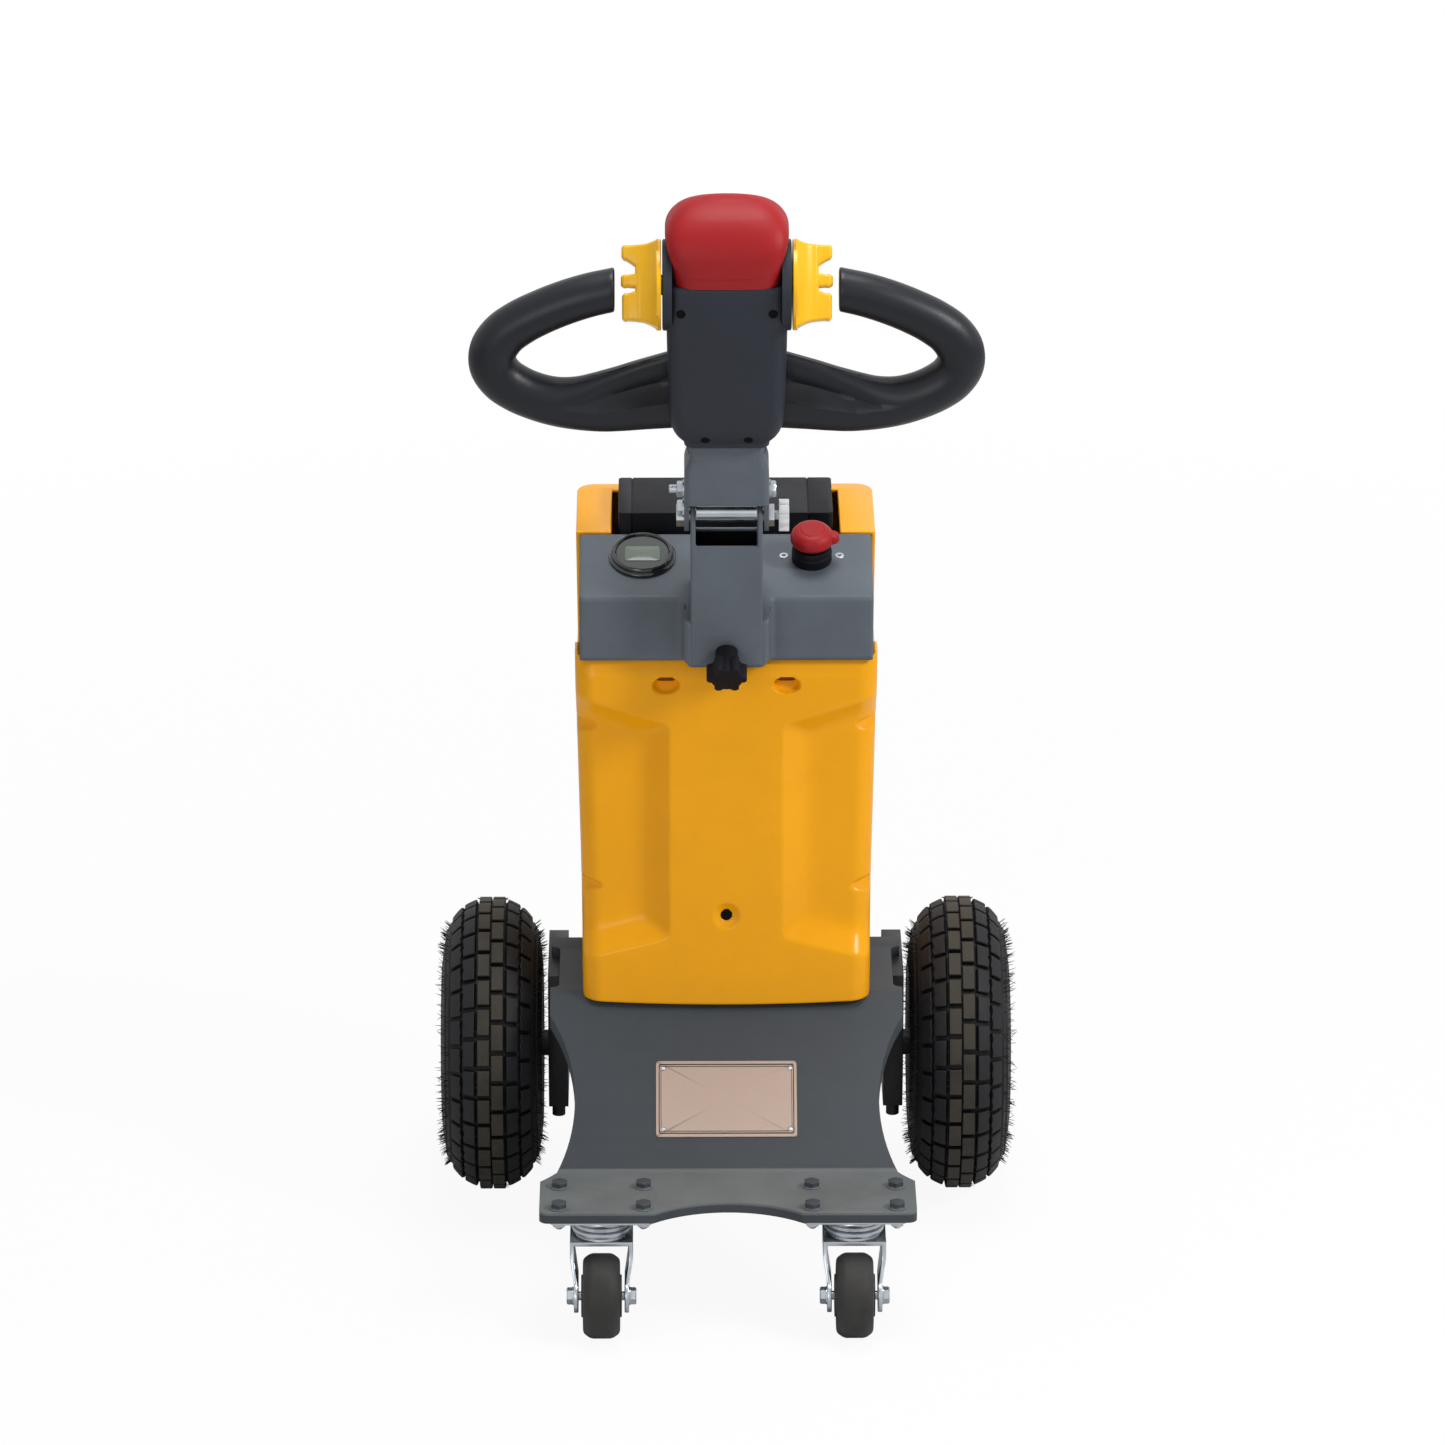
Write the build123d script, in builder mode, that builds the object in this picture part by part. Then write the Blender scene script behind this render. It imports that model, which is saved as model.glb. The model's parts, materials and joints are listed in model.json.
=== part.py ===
from build123d import *
import os
from math import cos, radians, sin, tan

os.makedirs("parts", exist_ok=True)

# A walk-behind electric tug. Millimetres, +X to the operator's right, +Y ahead of the
# operator, +Z up. The origin is on the floor, under the middle of the outline.

sides = (("left", -1), ("right", 1))  # name, sign of x
running_gap = 0.1  # radial play of a pin or shaft in its bore
skin_gap = 0.1  # play between round faces that are clamped
overcut = 5.0  # how far a cut runs past the face that it opens

# Casters
caster_x = 112.5
caster_y = -228.0
caster_radius = 38.0
caster_tread = 33.0
caster_barrel_in = 7.0
caster_barrel_drop = 5.0
caster_hub_width = 36.0
caster_hub_radius = 25.0
caster_hub_step = 6.0
caster_hub_cap = 5.0
caster_trail = 32.0
caster_bolt_radius = 4.0
caster_nut_radius = 7.0
caster_nut_t = 6.5
fork_wall = 4.0
fork_inside = 41.0
fork_crown_width = 56.0
fork_crown_gap = 6.0
fork_crown_deep = 24.0
fork_cheek = 12.0
fork_shoulder = 16.0
fork_shoulder_drop = 18.0
fork_eye_radius = 15.0
race_height = 20.0
race_radius = 26.0
race_step = 3.0
race_split = 0.5
kingpin_radius = 6.0
kingpin_head = 2.5
kingpin_head_radius = 10.8
caster_plate_x = 92.0
caster_plate_y = 64.0
caster_plate_t = 3.0
caster_plate_corner = 6.0
caster_hole_x = 75.0
caster_hole_y = 47.5
caster_hole_radius = 4.2
caster_height = 2 * caster_radius + fork_crown_gap + fork_wall + race_height + caster_plate_t

# Base plate: a low strip over the casters, a ramp and an upper deck
plate = 10.0
strip_half = 167.5
strip_front = -263.0
strip_depth = 92.0
strip_corner = 8.0
notch_radius = 103.0
notch_depth = 24.0
side_arc_radius = 118.0
side_arc_waist = 137.0
side_arc_y = -112.0
ramp_angle = 37.7
deck_rise = 115.0
deck_half = 160.0
deck_ear_end = 112.0
deck_corner = 6.0
deck_slot = 8.0
deck_slot_length = 100.0
tongue_half = 131.0
tongue_end = 225.0
strip_z = caster_height + plate
deck_z = strip_z + deck_rise
bend_low = strip_front + strip_depth
bend_high = bend_low + deck_rise / tan(radians(ramp_angle))
bend_shift = plate * tan(radians(ramp_angle / 2))

# Drive unit
axle_y = 98.0
gear_radius = 68.0
gear_width = 110.0
gear_edge = 10.0
tube_radius = 24.0
tube_past_deck = 3.0
tube_half = deck_half + tube_past_deck
motor_radius = 41.0
motor_length = 125.0
motor_start = 50.0
motor_edge = 6.0
clamp_t = 18.0
clamp_half = 58.0
clamp_drop = 45.0
clamp_foot_share = 0.8
clamp_bolt_share = 0.68
clamp_bolt_radius = 6.0
clamp_bolt_out = 10.0

# Drive wheels, a round section on a pressed rim
tyre_radius = 135.0
tyre_width = 93.0
tyre_gap = 5.5
tyre_shoulders = (  # share of the half width, share of the height above the bead
    (0.25, 1.0),
    (0.58, 0.9),
    (0.82, 0.745),
    (0.925, 0.6),
    (1.0, 0.35),
    (0.94, 0.19),
)
bead_radius = 51.0
bead_width = 62.0
rim_flange = 9.0
rim_sheet = 3.0
rim_web_out = 8.0
rim_play = 0.6
hub_radius = 27.0
hub_length = 52.0
stub_radius = 12.0
stub_reach = 70.0
stub_end_play = 2.0
axle_z = tyre_radius
wheel_x = tube_half + tyre_gap + tyre_width / 2

# Body panels
panel = 4.0
housing_half_top = 135.0
housing_taper = 5.0
housing_half_bottom = housing_half_top - housing_taper
housing_front = -20.0
housing_split = 30.0
housing_rear = 209.0
housing_top = 643.0
cover_lip = 3.0
cover_corner = 18.0
field_edge = 53.0
field_depth = 12.0
field_high = 491.0
field_low = 293.0
field_mid = 400.0
field_reach = 160.0
field_top_rise = 0.32
field_foot_rise = 0.25
field_side_slope = 1.8
field_foot_slope = 1.6
cover_tilt = 3.06
screw_x = 54.0
screw_z = 528.0
screw_long = 22.0
screw_tall = 12.0
screw_deep = 8.0
scoop_high = 497.0
scoop_low = 342.0
scoop_radius = 9.0
scoop_in = 5.0
peep_z = 311.0
peep_radius = 4.5
peep_dish = 10.0
peep_dish_deep = 3.0
bay_half = 103.0
bay_rim = 17.0

# Console
sheet = 3.0
console_inset = 3.5
console_half = housing_half_top - console_inset
console_low = 552.0
console_front_height = 59.0
console_depth = 91.0
console_tilt = 20.0
collar_half = 42.0
collar_front_half = 37.0
collar_out = 20.0
collar_drop = 6.0
collar_gap = 1.0
gauge_x = -75.0
gauge_along = 58.0
gauge_radius = 30.0
gauge_t = 8.0
gauge_edge = 3.0
gauge_glass_radius = 24.0
gauge_glass_sunk = 1.5
stop_x = 77.0
stop_along = 56.0
stop_collar_radius = 18.0
stop_collar_t = 16.0
stop_neck_t = 4.0
stop_head_radius = 19.5
stop_head_t = 14.0
stop_lobe = 6.0
stop_edge = 4.0
console_brow = console_low + console_front_height
console_back = housing_front + console_depth
console_crest = console_brow + console_depth * tan(radians(console_tilt))

# Battery
battery_half = 97.0
battery_depth = 102.0
battery_top = 656.0
battery_gap = 5.0
battery_corner = 4.0
seam_width = 1.2
seam_depth = 1.0
seam_places = (-84.5, 75.0)

# Inner frame
post = 30.0
post_inset = 17.5
post_x = console_half - sheet - post_inset - post / 2

# Column and hinge
column_half = 32.0
column_wall = 4.5
column_front = -52.0
column_depth = 56.0
column_low = 558.0
column_high = 670.0
hinge_y = -32.0
hinge_z = 693.0
hinge_radius = 6.0
ear_radius = 18.0
knob_up = 14.0
knob_droop = 35.0
knob_stem_radius = 10.0
knob_start = 16.0
knob_radius = 14.0
knob_t = 16.0
knob_lobe = 4.0
knob_lobes = 6

# Tiller, measured from the hinge along its own lean
tiller_lean = 8.0
arm_wall = 4.5
arm_gap = 1.0
arm_front = 20.0
arm_back = 14.0
arm_web_start = 14.0
arm_corner = 5.0
arm_shoulder = 5.0
arm_below_head = 4.0
arm_half = column_half + arm_gap + arm_wall
tongue_start = 40.0
hinge_head_flat = 10.0
hinge_head_t = 7.0
hinge_nut_t = 5.0
hinge_knob_radius = 12.0
hinge_knob_t = 9.0
hinge_knob_neck = 4.0
hinge_knob_lobes = 8

# Tiller head, measured up from its foot
head_start = 80.0
head_height = 229.5
head_half = 53.0
head_front = 42.0
head_back = 26.0
head_socket = 40.0
head_corner = 10.0
head_sections = (  # share of the height, of the half width, of the front and back depth
    (0.0, 0.72, 0.7),
    (0.017, 0.73, 0.74),
    (0.1, 0.93, 0.93),
    (0.26, 0.97, 0.98),
    (0.435, 1.0, 1.0),
)
cheek_radius = 40.0
cheek_out = 3.5
button_height = 66.5
button_half = 54.0
button_front = 45.0
button_back = 29.0
button_corner = 22.0
button_outline = (  # share of the half width, share of the button's height
    (0.74, 0.0),
    (0.8, 0.02),
    (0.865, 0.11),
    (0.9, 0.255),
    (1.0, 0.42),
    (1.0, 0.525),
    (0.93, 0.68),
    (0.86, 0.785),
    (0.78, 0.88),
    (0.54, 0.98),
)
button_profile = (  # share of the front or back depth, share of the button's height
    (0.96, 0.0),
    (1.0, 0.26),
    (0.88, 0.62),
    (0.58, 0.88),
    (0.15, 1.0),
    (-0.5, 0.95),
    (-0.9, 0.72),
    (-1.0, 0.0),
)

# Thumb wheels
thumb_up = 149.0
thumb_forward = 8.0
thumb_rise = 20.0
thumb_gap = 1.0
thumb_plate = 4.5
thumb_half_deep = 15.0
thumb_pivot_radius = 9.0
thumb_fingers = (  # out from the plate's inner face, up from the pivot
    (4.0, -36.0),
    (14.0, -33.0),
    (34.0, -32.0),
    (34.0, -9.0),
    (22.5, -6.0),
    (25.5, -2.5),
    (35.5, -2.0),
    (35.5, 7.0),
    (25.5, 8.0),
    (22.5, 13.0),
    (25.5, 18.0),
    (34.0, 21.0),
    (34.0, 34.0),
    (12.5, 35.0),
    (4.0, 38.0),
)

# Looped grips
grip_radius = 19.5
grip_forward = 8.0
grip_end_x = 100.0
grip_end_h = 144.0
elbow_x = 205.5
elbow_h = 83.0
elbow_top_x = 193.2
elbow_top_h = 106.2
elbow_low_x = 189.5
elbow_low_h = 54.2
grip_low_x = 150.0
grip_low_h = 35.0
web_flat = 1.0
web_sections = (  # x, height of the middle, tall, deep
    (165.0, 39.0, 39.5, 37.0),
    (118.0, 33.3, 51.5, 35.0),
    (37.5, 46.5, 71.0, 34.0),
)

# Hitch
rail_t = 8.0
rail_half = 60.0
rail_low = 120.0
rail_high = 330.0
rail_corner = 6.0
rail_hole_x = 80.0
rail_hole_z = 40.0
rail_hole_radius = 5.5
gusset_x = 56.0
gusset_long = 45.0
spare_z = 284.0
jaw_z = 170.0
jaw_half = 26.0
jaw_t = 12.0
jaw_gap = 36.0
jaw_reach = 57.0
jaw_flange_t = 8.0
jaw_flange_half = 55.0
jaw_flange_tall = 64.0
tow_pin_radius = 9.0
tow_pin_inset = 26.0
pin_stub = 12.0
pin_edge = 3.0
pin_collar_radius = 15.0
pin_collar_t = 6.0
ring_radius = 15.0
ring_wire = 3.5
ring_sunk = 1.0


# Base plate, bent from one sheet
with BuildPart() as base_plate:
    with BuildSketch(Plane.YZ):
        with BuildLine():
            Polyline(
                (strip_front, strip_z),
                (bend_low, strip_z),
                (bend_high, deck_z),
                (tongue_end, deck_z),
                (tongue_end, deck_z - plate),
                (bend_high + bend_shift, deck_z - plate),
                (bend_low + bend_shift, strip_z - plate),
                (strip_front, strip_z - plate),
                close=True,
            )
        make_face()
    extrude(amount=strip_half, both=True)
    with BuildSketch(Plane.XY.offset(strip_z - plate)) as plan:
        with BuildLine() as outline:
            Polyline(
                (0, strip_front),
                (strip_half, strip_front),
                (strip_half, side_arc_y),
                (deck_half, side_arc_y),
                (deck_half, deck_ear_end),
                (tongue_half, deck_ear_end),
                (tongue_half, tongue_end),
                (0, tongue_end),
            )
            mirror(about=Plane.YZ)
        make_face()
        corners = plan.vertices().filter_by(lambda v: abs(v.X) > tongue_half + 1)
        fillet(corners.group_by(Axis.Y)[0], strip_corner)
        fillet(corners.group_by(Axis.Y)[-1], deck_corner)
        with Locations((0, strip_front - notch_radius + notch_depth)):
            Circle(notch_radius, mode=Mode.SUBTRACT)
        for name, s in sides:
            with Locations((s * (side_arc_waist + side_arc_radius), side_arc_y)):
                Circle(side_arc_radius, mode=Mode.SUBTRACT)
            with Locations((s * deck_half, deck_ear_end - deck_slot_length / 2 - 3 * deck_slot)):
                SlotOverall(deck_slot_length, 2 * deck_slot, rotation=90, mode=Mode.SUBTRACT)
    extrude(amount=deck_z - strip_z + plate, mode=Mode.INTERSECT)
    with BuildSketch(Plane.XY.offset(strip_z - plate)):
        for name, s in sides:
            with Locations((s * caster_x, caster_y)):
                with GridLocations(caster_hole_x, caster_hole_y, 2, 2):
                    Circle(caster_hole_radius)
    extrude(amount=plate, mode=Mode.SUBTRACT)
base_plate.part.label = "base_plate"
export_step(base_plate.part, "parts/base_plate.step")


# Gear case with its two axle tubes
with BuildPart() as transaxle:
    with BuildSketch(Plane.YZ):
        with Locations((axle_y, axle_z)):
            Circle(gear_radius)
    extrude(amount=gear_width / 2, both=True)
    chamfer(transaxle.edges().filter_by(GeomType.CIRCLE), gear_edge)
    with BuildSketch(Plane.YZ):
        with Locations((axle_y, axle_z)):
            Circle(tube_radius)
    extrude(amount=tube_half, both=True)
    for name, s in sides:
        with BuildSketch(Plane.YZ.offset(s * (tube_half - stub_reach))):
            with Locations((axle_y, axle_z)):
                Circle(stub_radius + running_gap)
        extrude(amount=s * stub_reach, mode=Mode.SUBTRACT)
transaxle.part.label = "transaxle"
export_step(transaxle.part, "parts/transaxle.step")


# Motor, bolted to the operator's side of the gear case
with BuildPart() as drive_motor:
    with BuildSketch(Plane.XZ.offset(-motor_start)):
        with Locations((0, axle_z)):
            Circle(motor_radius)
    extrude(amount=motor_length)
    chamfer(drive_motor.faces().sort_by(Axis.Y)[0].edges(), motor_edge)
    with BuildSketch(Plane.YZ):
        with Locations((axle_y, axle_z)):
            Circle(gear_radius)
    extrude(amount=gear_width / 2, both=True, mode=Mode.SUBTRACT)
drive_motor.part.label = "drive_motor"
export_step(drive_motor.part, "parts/drive_motor.step")


# Clamp blocks that hang the axle tubes under the deck
for name, s in sides:
    with BuildPart() as axle_clamp:
        with BuildSketch(Plane.YZ.offset(s * (tube_half - clamp_t))):
            with BuildLine():
                Polyline(
                    (axle_y - clamp_half, deck_z - plate),
                    (axle_y + clamp_half, deck_z - plate),
                    (axle_y + clamp_half, axle_z),
                    (axle_y + clamp_foot_share * clamp_half, axle_z - clamp_drop),
                    (axle_y - clamp_foot_share * clamp_half, axle_z - clamp_drop),
                    (axle_y - clamp_half, axle_z),
                    close=True,
                )
            make_face()
            with Locations((axle_y, axle_z)):
                Circle(tube_radius + skin_gap, mode=Mode.SUBTRACT)
        extrude(amount=s * clamp_t)
        bolt_along = 2 * clamp_bolt_share * clamp_half
        with BuildSketch(Plane.XY.offset(axle_z - clamp_drop - clamp_bolt_out)):
            with Locations((s * (tube_half - clamp_t / 2), axle_y)):
                with GridLocations(0, bolt_along, 1, 2):
                    Circle(clamp_bolt_radius)
        extrude(amount=clamp_bolt_out)
    axle_clamp.part.label = f"axle_clamp_{name}"
    export_step(axle_clamp.part, f"parts/axle_clamp_{name}.step")


# Pneumatic tyres, solid inside, and pressed steel rims with their stub shafts
for name, s in sides:
    bead = bead_width / 2
    lip = bead_radius + rim_flange + skin_gap
    wall_height = tyre_radius - bead_radius
    with BuildPart() as tyre:
        with BuildSketch(Plane.XZ.offset(-axle_y)):
            with BuildLine():
                Polyline(
                    (0, tyre_radius),
                    *[
                        (across * tyre_width / 2, bead_radius + up * wall_height)
                        for across, up in tyre_shoulders
                    ],
                    (bead + rim_sheet + rim_play, lip),
                    (bead, lip),
                    (bead, bead_radius + skin_gap),
                    (0, bead_radius + skin_gap),
                )
                mirror(about=Plane.YZ)
            make_face()
        revolve(axis=Axis((0, axle_y, 0), (1, 0, 0)))
    tyre_solid = Pos(s * wheel_x, 0, axle_z) * tyre.part
    tyre_solid.label = f"tyre_{name}"
    export_step(tyre_solid, f"parts/tyre_{name}.step")

    stub_length = wheel_x - tube_half + stub_reach - stub_end_play
    with BuildPart() as rim:
        with BuildSketch(Plane.XZ.offset(-axle_y)):
            with BuildLine():
                Polyline(
                    (bead, bead_radius),
                    (bead, bead_radius + rim_flange),
                    (bead + rim_sheet, bead_radius + rim_flange),
                    (bead + rim_sheet, bead_radius - rim_sheet),
                    (-bead - rim_sheet, bead_radius - rim_sheet),
                    (-bead - rim_sheet, bead_radius + rim_flange),
                    (-bead, bead_radius + rim_flange),
                    (-bead, bead_radius),
                    close=True,
                )
            make_face()
            with Locations((s * rim_web_out, (bead_radius + hub_radius) / 2 - rim_sheet)):
                Rectangle(2 * rim_sheet, bead_radius - hub_radius + rim_sheet)
            with Locations((0, hub_radius / 2)):
                Rectangle(hub_length, hub_radius)
            with Locations((-s * stub_length / 2, stub_radius / 2)):
                Rectangle(stub_length, stub_radius)
        revolve(axis=Axis((0, axle_y, 0), (1, 0, 0)))
    rim_solid = Pos(s * wheel_x, 0, axle_z) * rim.part
    rim_solid.label = f"rim_{name}"
    export_step(rim_solid, f"parts/rim_{name}.step")


# Swivel casters: plate with its race and kingpin, fork, bolt and wheel
caster_axle_z = caster_radius
caster_axle_y = caster_y - caster_trail
race_top = caster_height - caster_plate_t
crown_top = 2 * caster_radius + fork_crown_gap + fork_wall
race_mid = (race_top + crown_top) / 2
for name, s in sides:
    with BuildPart() as caster_mount:
        with BuildSketch(Plane.XY.offset(race_top)):
            with Locations((s * caster_x, caster_y)):
                RectangleRounded(caster_plate_x, caster_plate_y, caster_plate_corner)
                with GridLocations(caster_hole_x, caster_hole_y, 2, 2):
                    Circle(caster_hole_radius, mode=Mode.SUBTRACT)
        extrude(amount=caster_plate_t)
        with BuildSketch(Plane.XY.offset(race_mid)):
            with Locations((s * caster_x, caster_y)):
                Circle(race_radius)
        extrude(amount=race_top - race_mid)
        with BuildSketch(Plane.XY.offset(crown_top - fork_wall - race_split)):
            with Locations((s * caster_x, caster_y)):
                Circle(kingpin_radius)
        extrude(amount=race_mid - crown_top + fork_wall + race_split)
        with BuildSketch(Plane.XY.offset(crown_top - fork_wall - race_split - kingpin_head)):
            with Locations((s * caster_x, caster_y)):
                Circle(kingpin_head_radius)
        extrude(amount=kingpin_head)
    caster_mount.part.label = f"caster_mount_{name}"
    export_step(caster_mount.part, f"parts/caster_mount_{name}.step")

    with BuildPart() as caster_fork:
        crown_half = fork_crown_width / 2
        leg_in = fork_inside / 2
        leg_out = leg_in + fork_wall
        shoulder = crown_top - fork_shoulder
        knee = shoulder - fork_shoulder_drop
        with BuildSketch(Plane.XZ.offset(-caster_y)):
            with BuildLine():
                Polyline(
                    (0, crown_top),
                    (crown_half, crown_top),
                    (crown_half, shoulder),
                    (leg_out, knee),
                    (leg_out, 0),
                    (leg_in, 0),
                    (leg_in, knee - fork_wall / 2),
                    (crown_half - fork_wall, shoulder - fork_wall / 2),
                    (crown_half - fork_wall, crown_top - fork_wall),
                    (0, crown_top - fork_wall),
                )
                mirror(about=Plane.YZ)
            make_face()
        extrude(amount=caster_plate_x, both=True)
        with BuildSketch(Plane.YZ):
            with BuildLine():
                Polyline(
                    (caster_y + fork_crown_deep, crown_top),
                    (caster_y + fork_crown_deep, crown_top - fork_cheek),
                    (caster_axle_y + fork_eye_radius, caster_axle_z),
                    (caster_axle_y, caster_axle_z - fork_eye_radius),
                    (caster_axle_y - fork_eye_radius, caster_axle_z),
                    (caster_y - fork_crown_deep, crown_top - fork_cheek),
                    (caster_y - fork_crown_deep, crown_top),
                    close=True,
                )
            make_face()
            with Locations((caster_axle_y, caster_axle_z)):
                Circle(fork_eye_radius)
        extrude(amount=fork_crown_width, both=True, mode=Mode.INTERSECT)
        with BuildSketch(Plane.XY.offset(crown_top)):
            with Locations((0, caster_y)):
                Circle(race_radius - race_step)
        extrude(amount=race_mid - race_split - crown_top)
        with BuildSketch(Plane.XY.offset(crown_top - fork_wall)):
            with Locations((0, caster_y)):
                Circle(kingpin_radius + running_gap)
        extrude(amount=race_height, mode=Mode.SUBTRACT)
        with BuildSketch(Plane.YZ):
            with Locations((caster_axle_y, caster_axle_z)):
                Circle(caster_bolt_radius + skin_gap)
        extrude(amount=fork_crown_width, both=True, mode=Mode.SUBTRACT)
    fork_solid = Pos(s * caster_x, 0, 0) * caster_fork.part
    fork_solid.label = f"caster_fork_{name}"
    export_step(fork_solid, f"parts/caster_fork_{name}.step")

    with BuildPart() as caster_bolt:
        with BuildSketch(Plane.YZ.offset(s * caster_x)):
            with Locations((caster_axle_y, caster_axle_z)):
                Circle(caster_bolt_radius)
        extrude(amount=leg_out, both=True)
        for end in (-1, 1):
            with BuildSketch(Plane.YZ.offset(s * caster_x + end * leg_out)):
                with Locations((caster_axle_y, caster_axle_z)):
                    RegularPolygon(caster_nut_radius, 6)
            extrude(amount=end * caster_nut_t)
    caster_bolt.part.label = f"caster_bolt_{name}"
    export_step(caster_bolt.part, f"parts/caster_bolt_{name}.step")

    with BuildPart() as caster_hub:
        with BuildSketch(Plane.YZ.offset(s * caster_x)):
            with Locations((caster_axle_y, caster_axle_z)):
                Circle(caster_hub_radius - caster_hub_step)
        extrude(amount=caster_hub_width / 2, both=True)
        with BuildSketch(Plane.YZ.offset(s * caster_x)):
            with Locations((caster_axle_y, caster_axle_z)):
                Circle(caster_hub_radius)
        extrude(amount=caster_hub_width / 2 - caster_hub_cap, both=True)
        with BuildSketch(Plane.YZ.offset(s * caster_x)):
            with Locations((caster_axle_y, caster_axle_z)):
                Circle(caster_bolt_radius + running_gap)
        extrude(amount=caster_hub_width, both=True, mode=Mode.SUBTRACT)
    caster_hub.part.label = f"caster_hub_{name}"
    export_step(caster_hub.part, f"parts/caster_hub_{name}.step")

    with BuildPart() as caster_tyre:
        with BuildSketch(Plane.YZ.offset(s * caster_x)):
            with Locations((caster_axle_y, caster_axle_z)):
                Circle(caster_radius)
                Circle(caster_hub_radius + skin_gap, mode=Mode.SUBTRACT)
        extrude(amount=caster_tread / 2, both=True)
        rims = caster_tyre.edges().filter_by(GeomType.CIRCLE)
        outer = rims.filter_by(lambda e: e.radius > caster_radius - 1)
        chamfer(outer, caster_barrel_in, caster_barrel_drop)
    caster_tyre.part.label = f"caster_tyre_{name}"
    export_step(caster_tyre.part, f"parts/caster_tyre_{name}.step")


# Inner portal of square tube that carries the column
with BuildPart() as inner_frame:
    frame_back = column_front + column_depth
    with BuildSketch(Plane.XY.offset(deck_z)):
        with Locations((0, frame_back + post / 2)):
            with GridLocations(2 * post_x, 0, 2, 1):
                Rectangle(post, post)
    extrude(amount=console_low + post - deck_z)
    with BuildSketch(Plane.XZ.offset(-frame_back)):
        with Locations((0, console_low + post / 2)):
            Rectangle(2 * post_x, post)
    extrude(amount=-post)
inner_frame.part.label = "inner_frame"
export_step(inner_frame.part, "parts/inner_frame.step")


# Moulded front cover: flared towards the deck, with a sunk field each side
def cover_half(z):
    share = (z - deck_z) / (housing_top - deck_z)
    return housing_half_bottom + share * (housing_half_top - housing_half_bottom)


def cover_face(z):
    return housing_front - (console_low - z) * tan(radians(cover_tilt))


lip_back = bend_high - cover_lip / tan(radians(ramp_angle)) - skin_gap


def on_cover(z):
    """Plane on the cover's face: x to the right, y up the face, z out of it."""
    return Plane(
        origin=(0, cover_face(z), z),
        x_dir=(1, 0, 0),
        z_dir=(0, -cos(radians(cover_tilt)), sin(radians(cover_tilt))),
    )


def field_outline(s, step):
    """Corners of a sunk field, moved in by a step along each of its four walls."""
    inner = field_edge + step * field_side_slope
    return [
        (s * x, z - field_mid + rise * (x - field_edge) + step * shift)
        for x, z, rise, shift in (
            (inner, field_high, field_top_rise, -1),
            (field_reach, field_high, field_top_rise, -1),
            (field_reach, field_low, -field_foot_rise, field_foot_slope),
            (inner, field_low, -field_foot_rise, field_foot_slope),
        )
    ]


with BuildPart() as front_cover:
    with BuildSketch(Plane.YZ):
        with BuildLine():
            Polyline(
                (housing_front, console_low),
                (housing_split, console_low),
                (housing_split, deck_z),
                (lip_back, deck_z),
                (lip_back, deck_z - cover_lip),
                (cover_face(deck_z - cover_lip), deck_z - cover_lip),
                close=True,
            )
        make_face()
    extrude(amount=housing_half_top, both=True)
    with BuildSketch(Plane.XZ.offset(-housing_split)):
        with BuildLine():
            Polyline(
                (-cover_half(deck_z - cover_lip), deck_z - cover_lip),
                (cover_half(deck_z - cover_lip), deck_z - cover_lip),
                (cover_half(console_low), console_low),
                (-cover_half(console_low), console_low),
                close=True,
            )
        make_face()
    extrude(amount=3 * housing_split, mode=Mode.INTERSECT)
    upright = front_cover.edges().filter_by(lambda e: abs(e.tangent_at(0.5).Z) > 0.9)
    fillet(upright.group_by(Axis.Y)[0], cover_corner)
    with BuildSketch(Plane.YZ):
        with BuildLine():
            Polyline(
                (cover_face(console_low) + field_depth + panel, console_low + 1),
                (housing_split + 1, console_low + 1),
                (housing_split + 1, deck_z - 1),
                (cover_face(deck_z) + field_depth + panel, deck_z - 1),
                close=True,
            )
        make_face()
    extrude(amount=housing_half_bottom - panel, both=True, mode=Mode.SUBTRACT)
    for name, s in sides:
        for step in (-field_depth / 2, field_depth):
            with BuildSketch(on_cover(field_mid).offset(-step)):
                with BuildLine():
                    Polyline(*field_outline(s, step), close=True)
                make_face()
        loft(ruled=True, mode=Mode.SUBTRACT)
        with BuildSketch(on_cover(screw_z)):
            with Locations((s * screw_x, 0)):
                SlotOverall(screw_long, screw_tall)
        extrude(amount=-screw_deep, mode=Mode.SUBTRACT)
        for z in (scoop_high, scoop_low):
            with BuildSketch(Plane.YZ.offset(s * (cover_half(z) - scoop_in))):
                with Locations((cover_face(z) + field_depth, z)):
                    Circle(scoop_radius)
            extrude(amount=s * 3 * scoop_in, mode=Mode.SUBTRACT)
    with BuildSketch(on_cover(peep_z)):
        Circle(peep_dish)
    extrude(amount=-peep_dish_deep, mode=Mode.SUBTRACT)
    with BuildSketch(on_cover(peep_z)):
        Circle(peep_radius)
    extrude(amount=-field_depth - 2 * panel, mode=Mode.SUBTRACT)
front_cover.part.label = "front_cover"
export_step(front_cover.part, "parts/front_cover.step")


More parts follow.
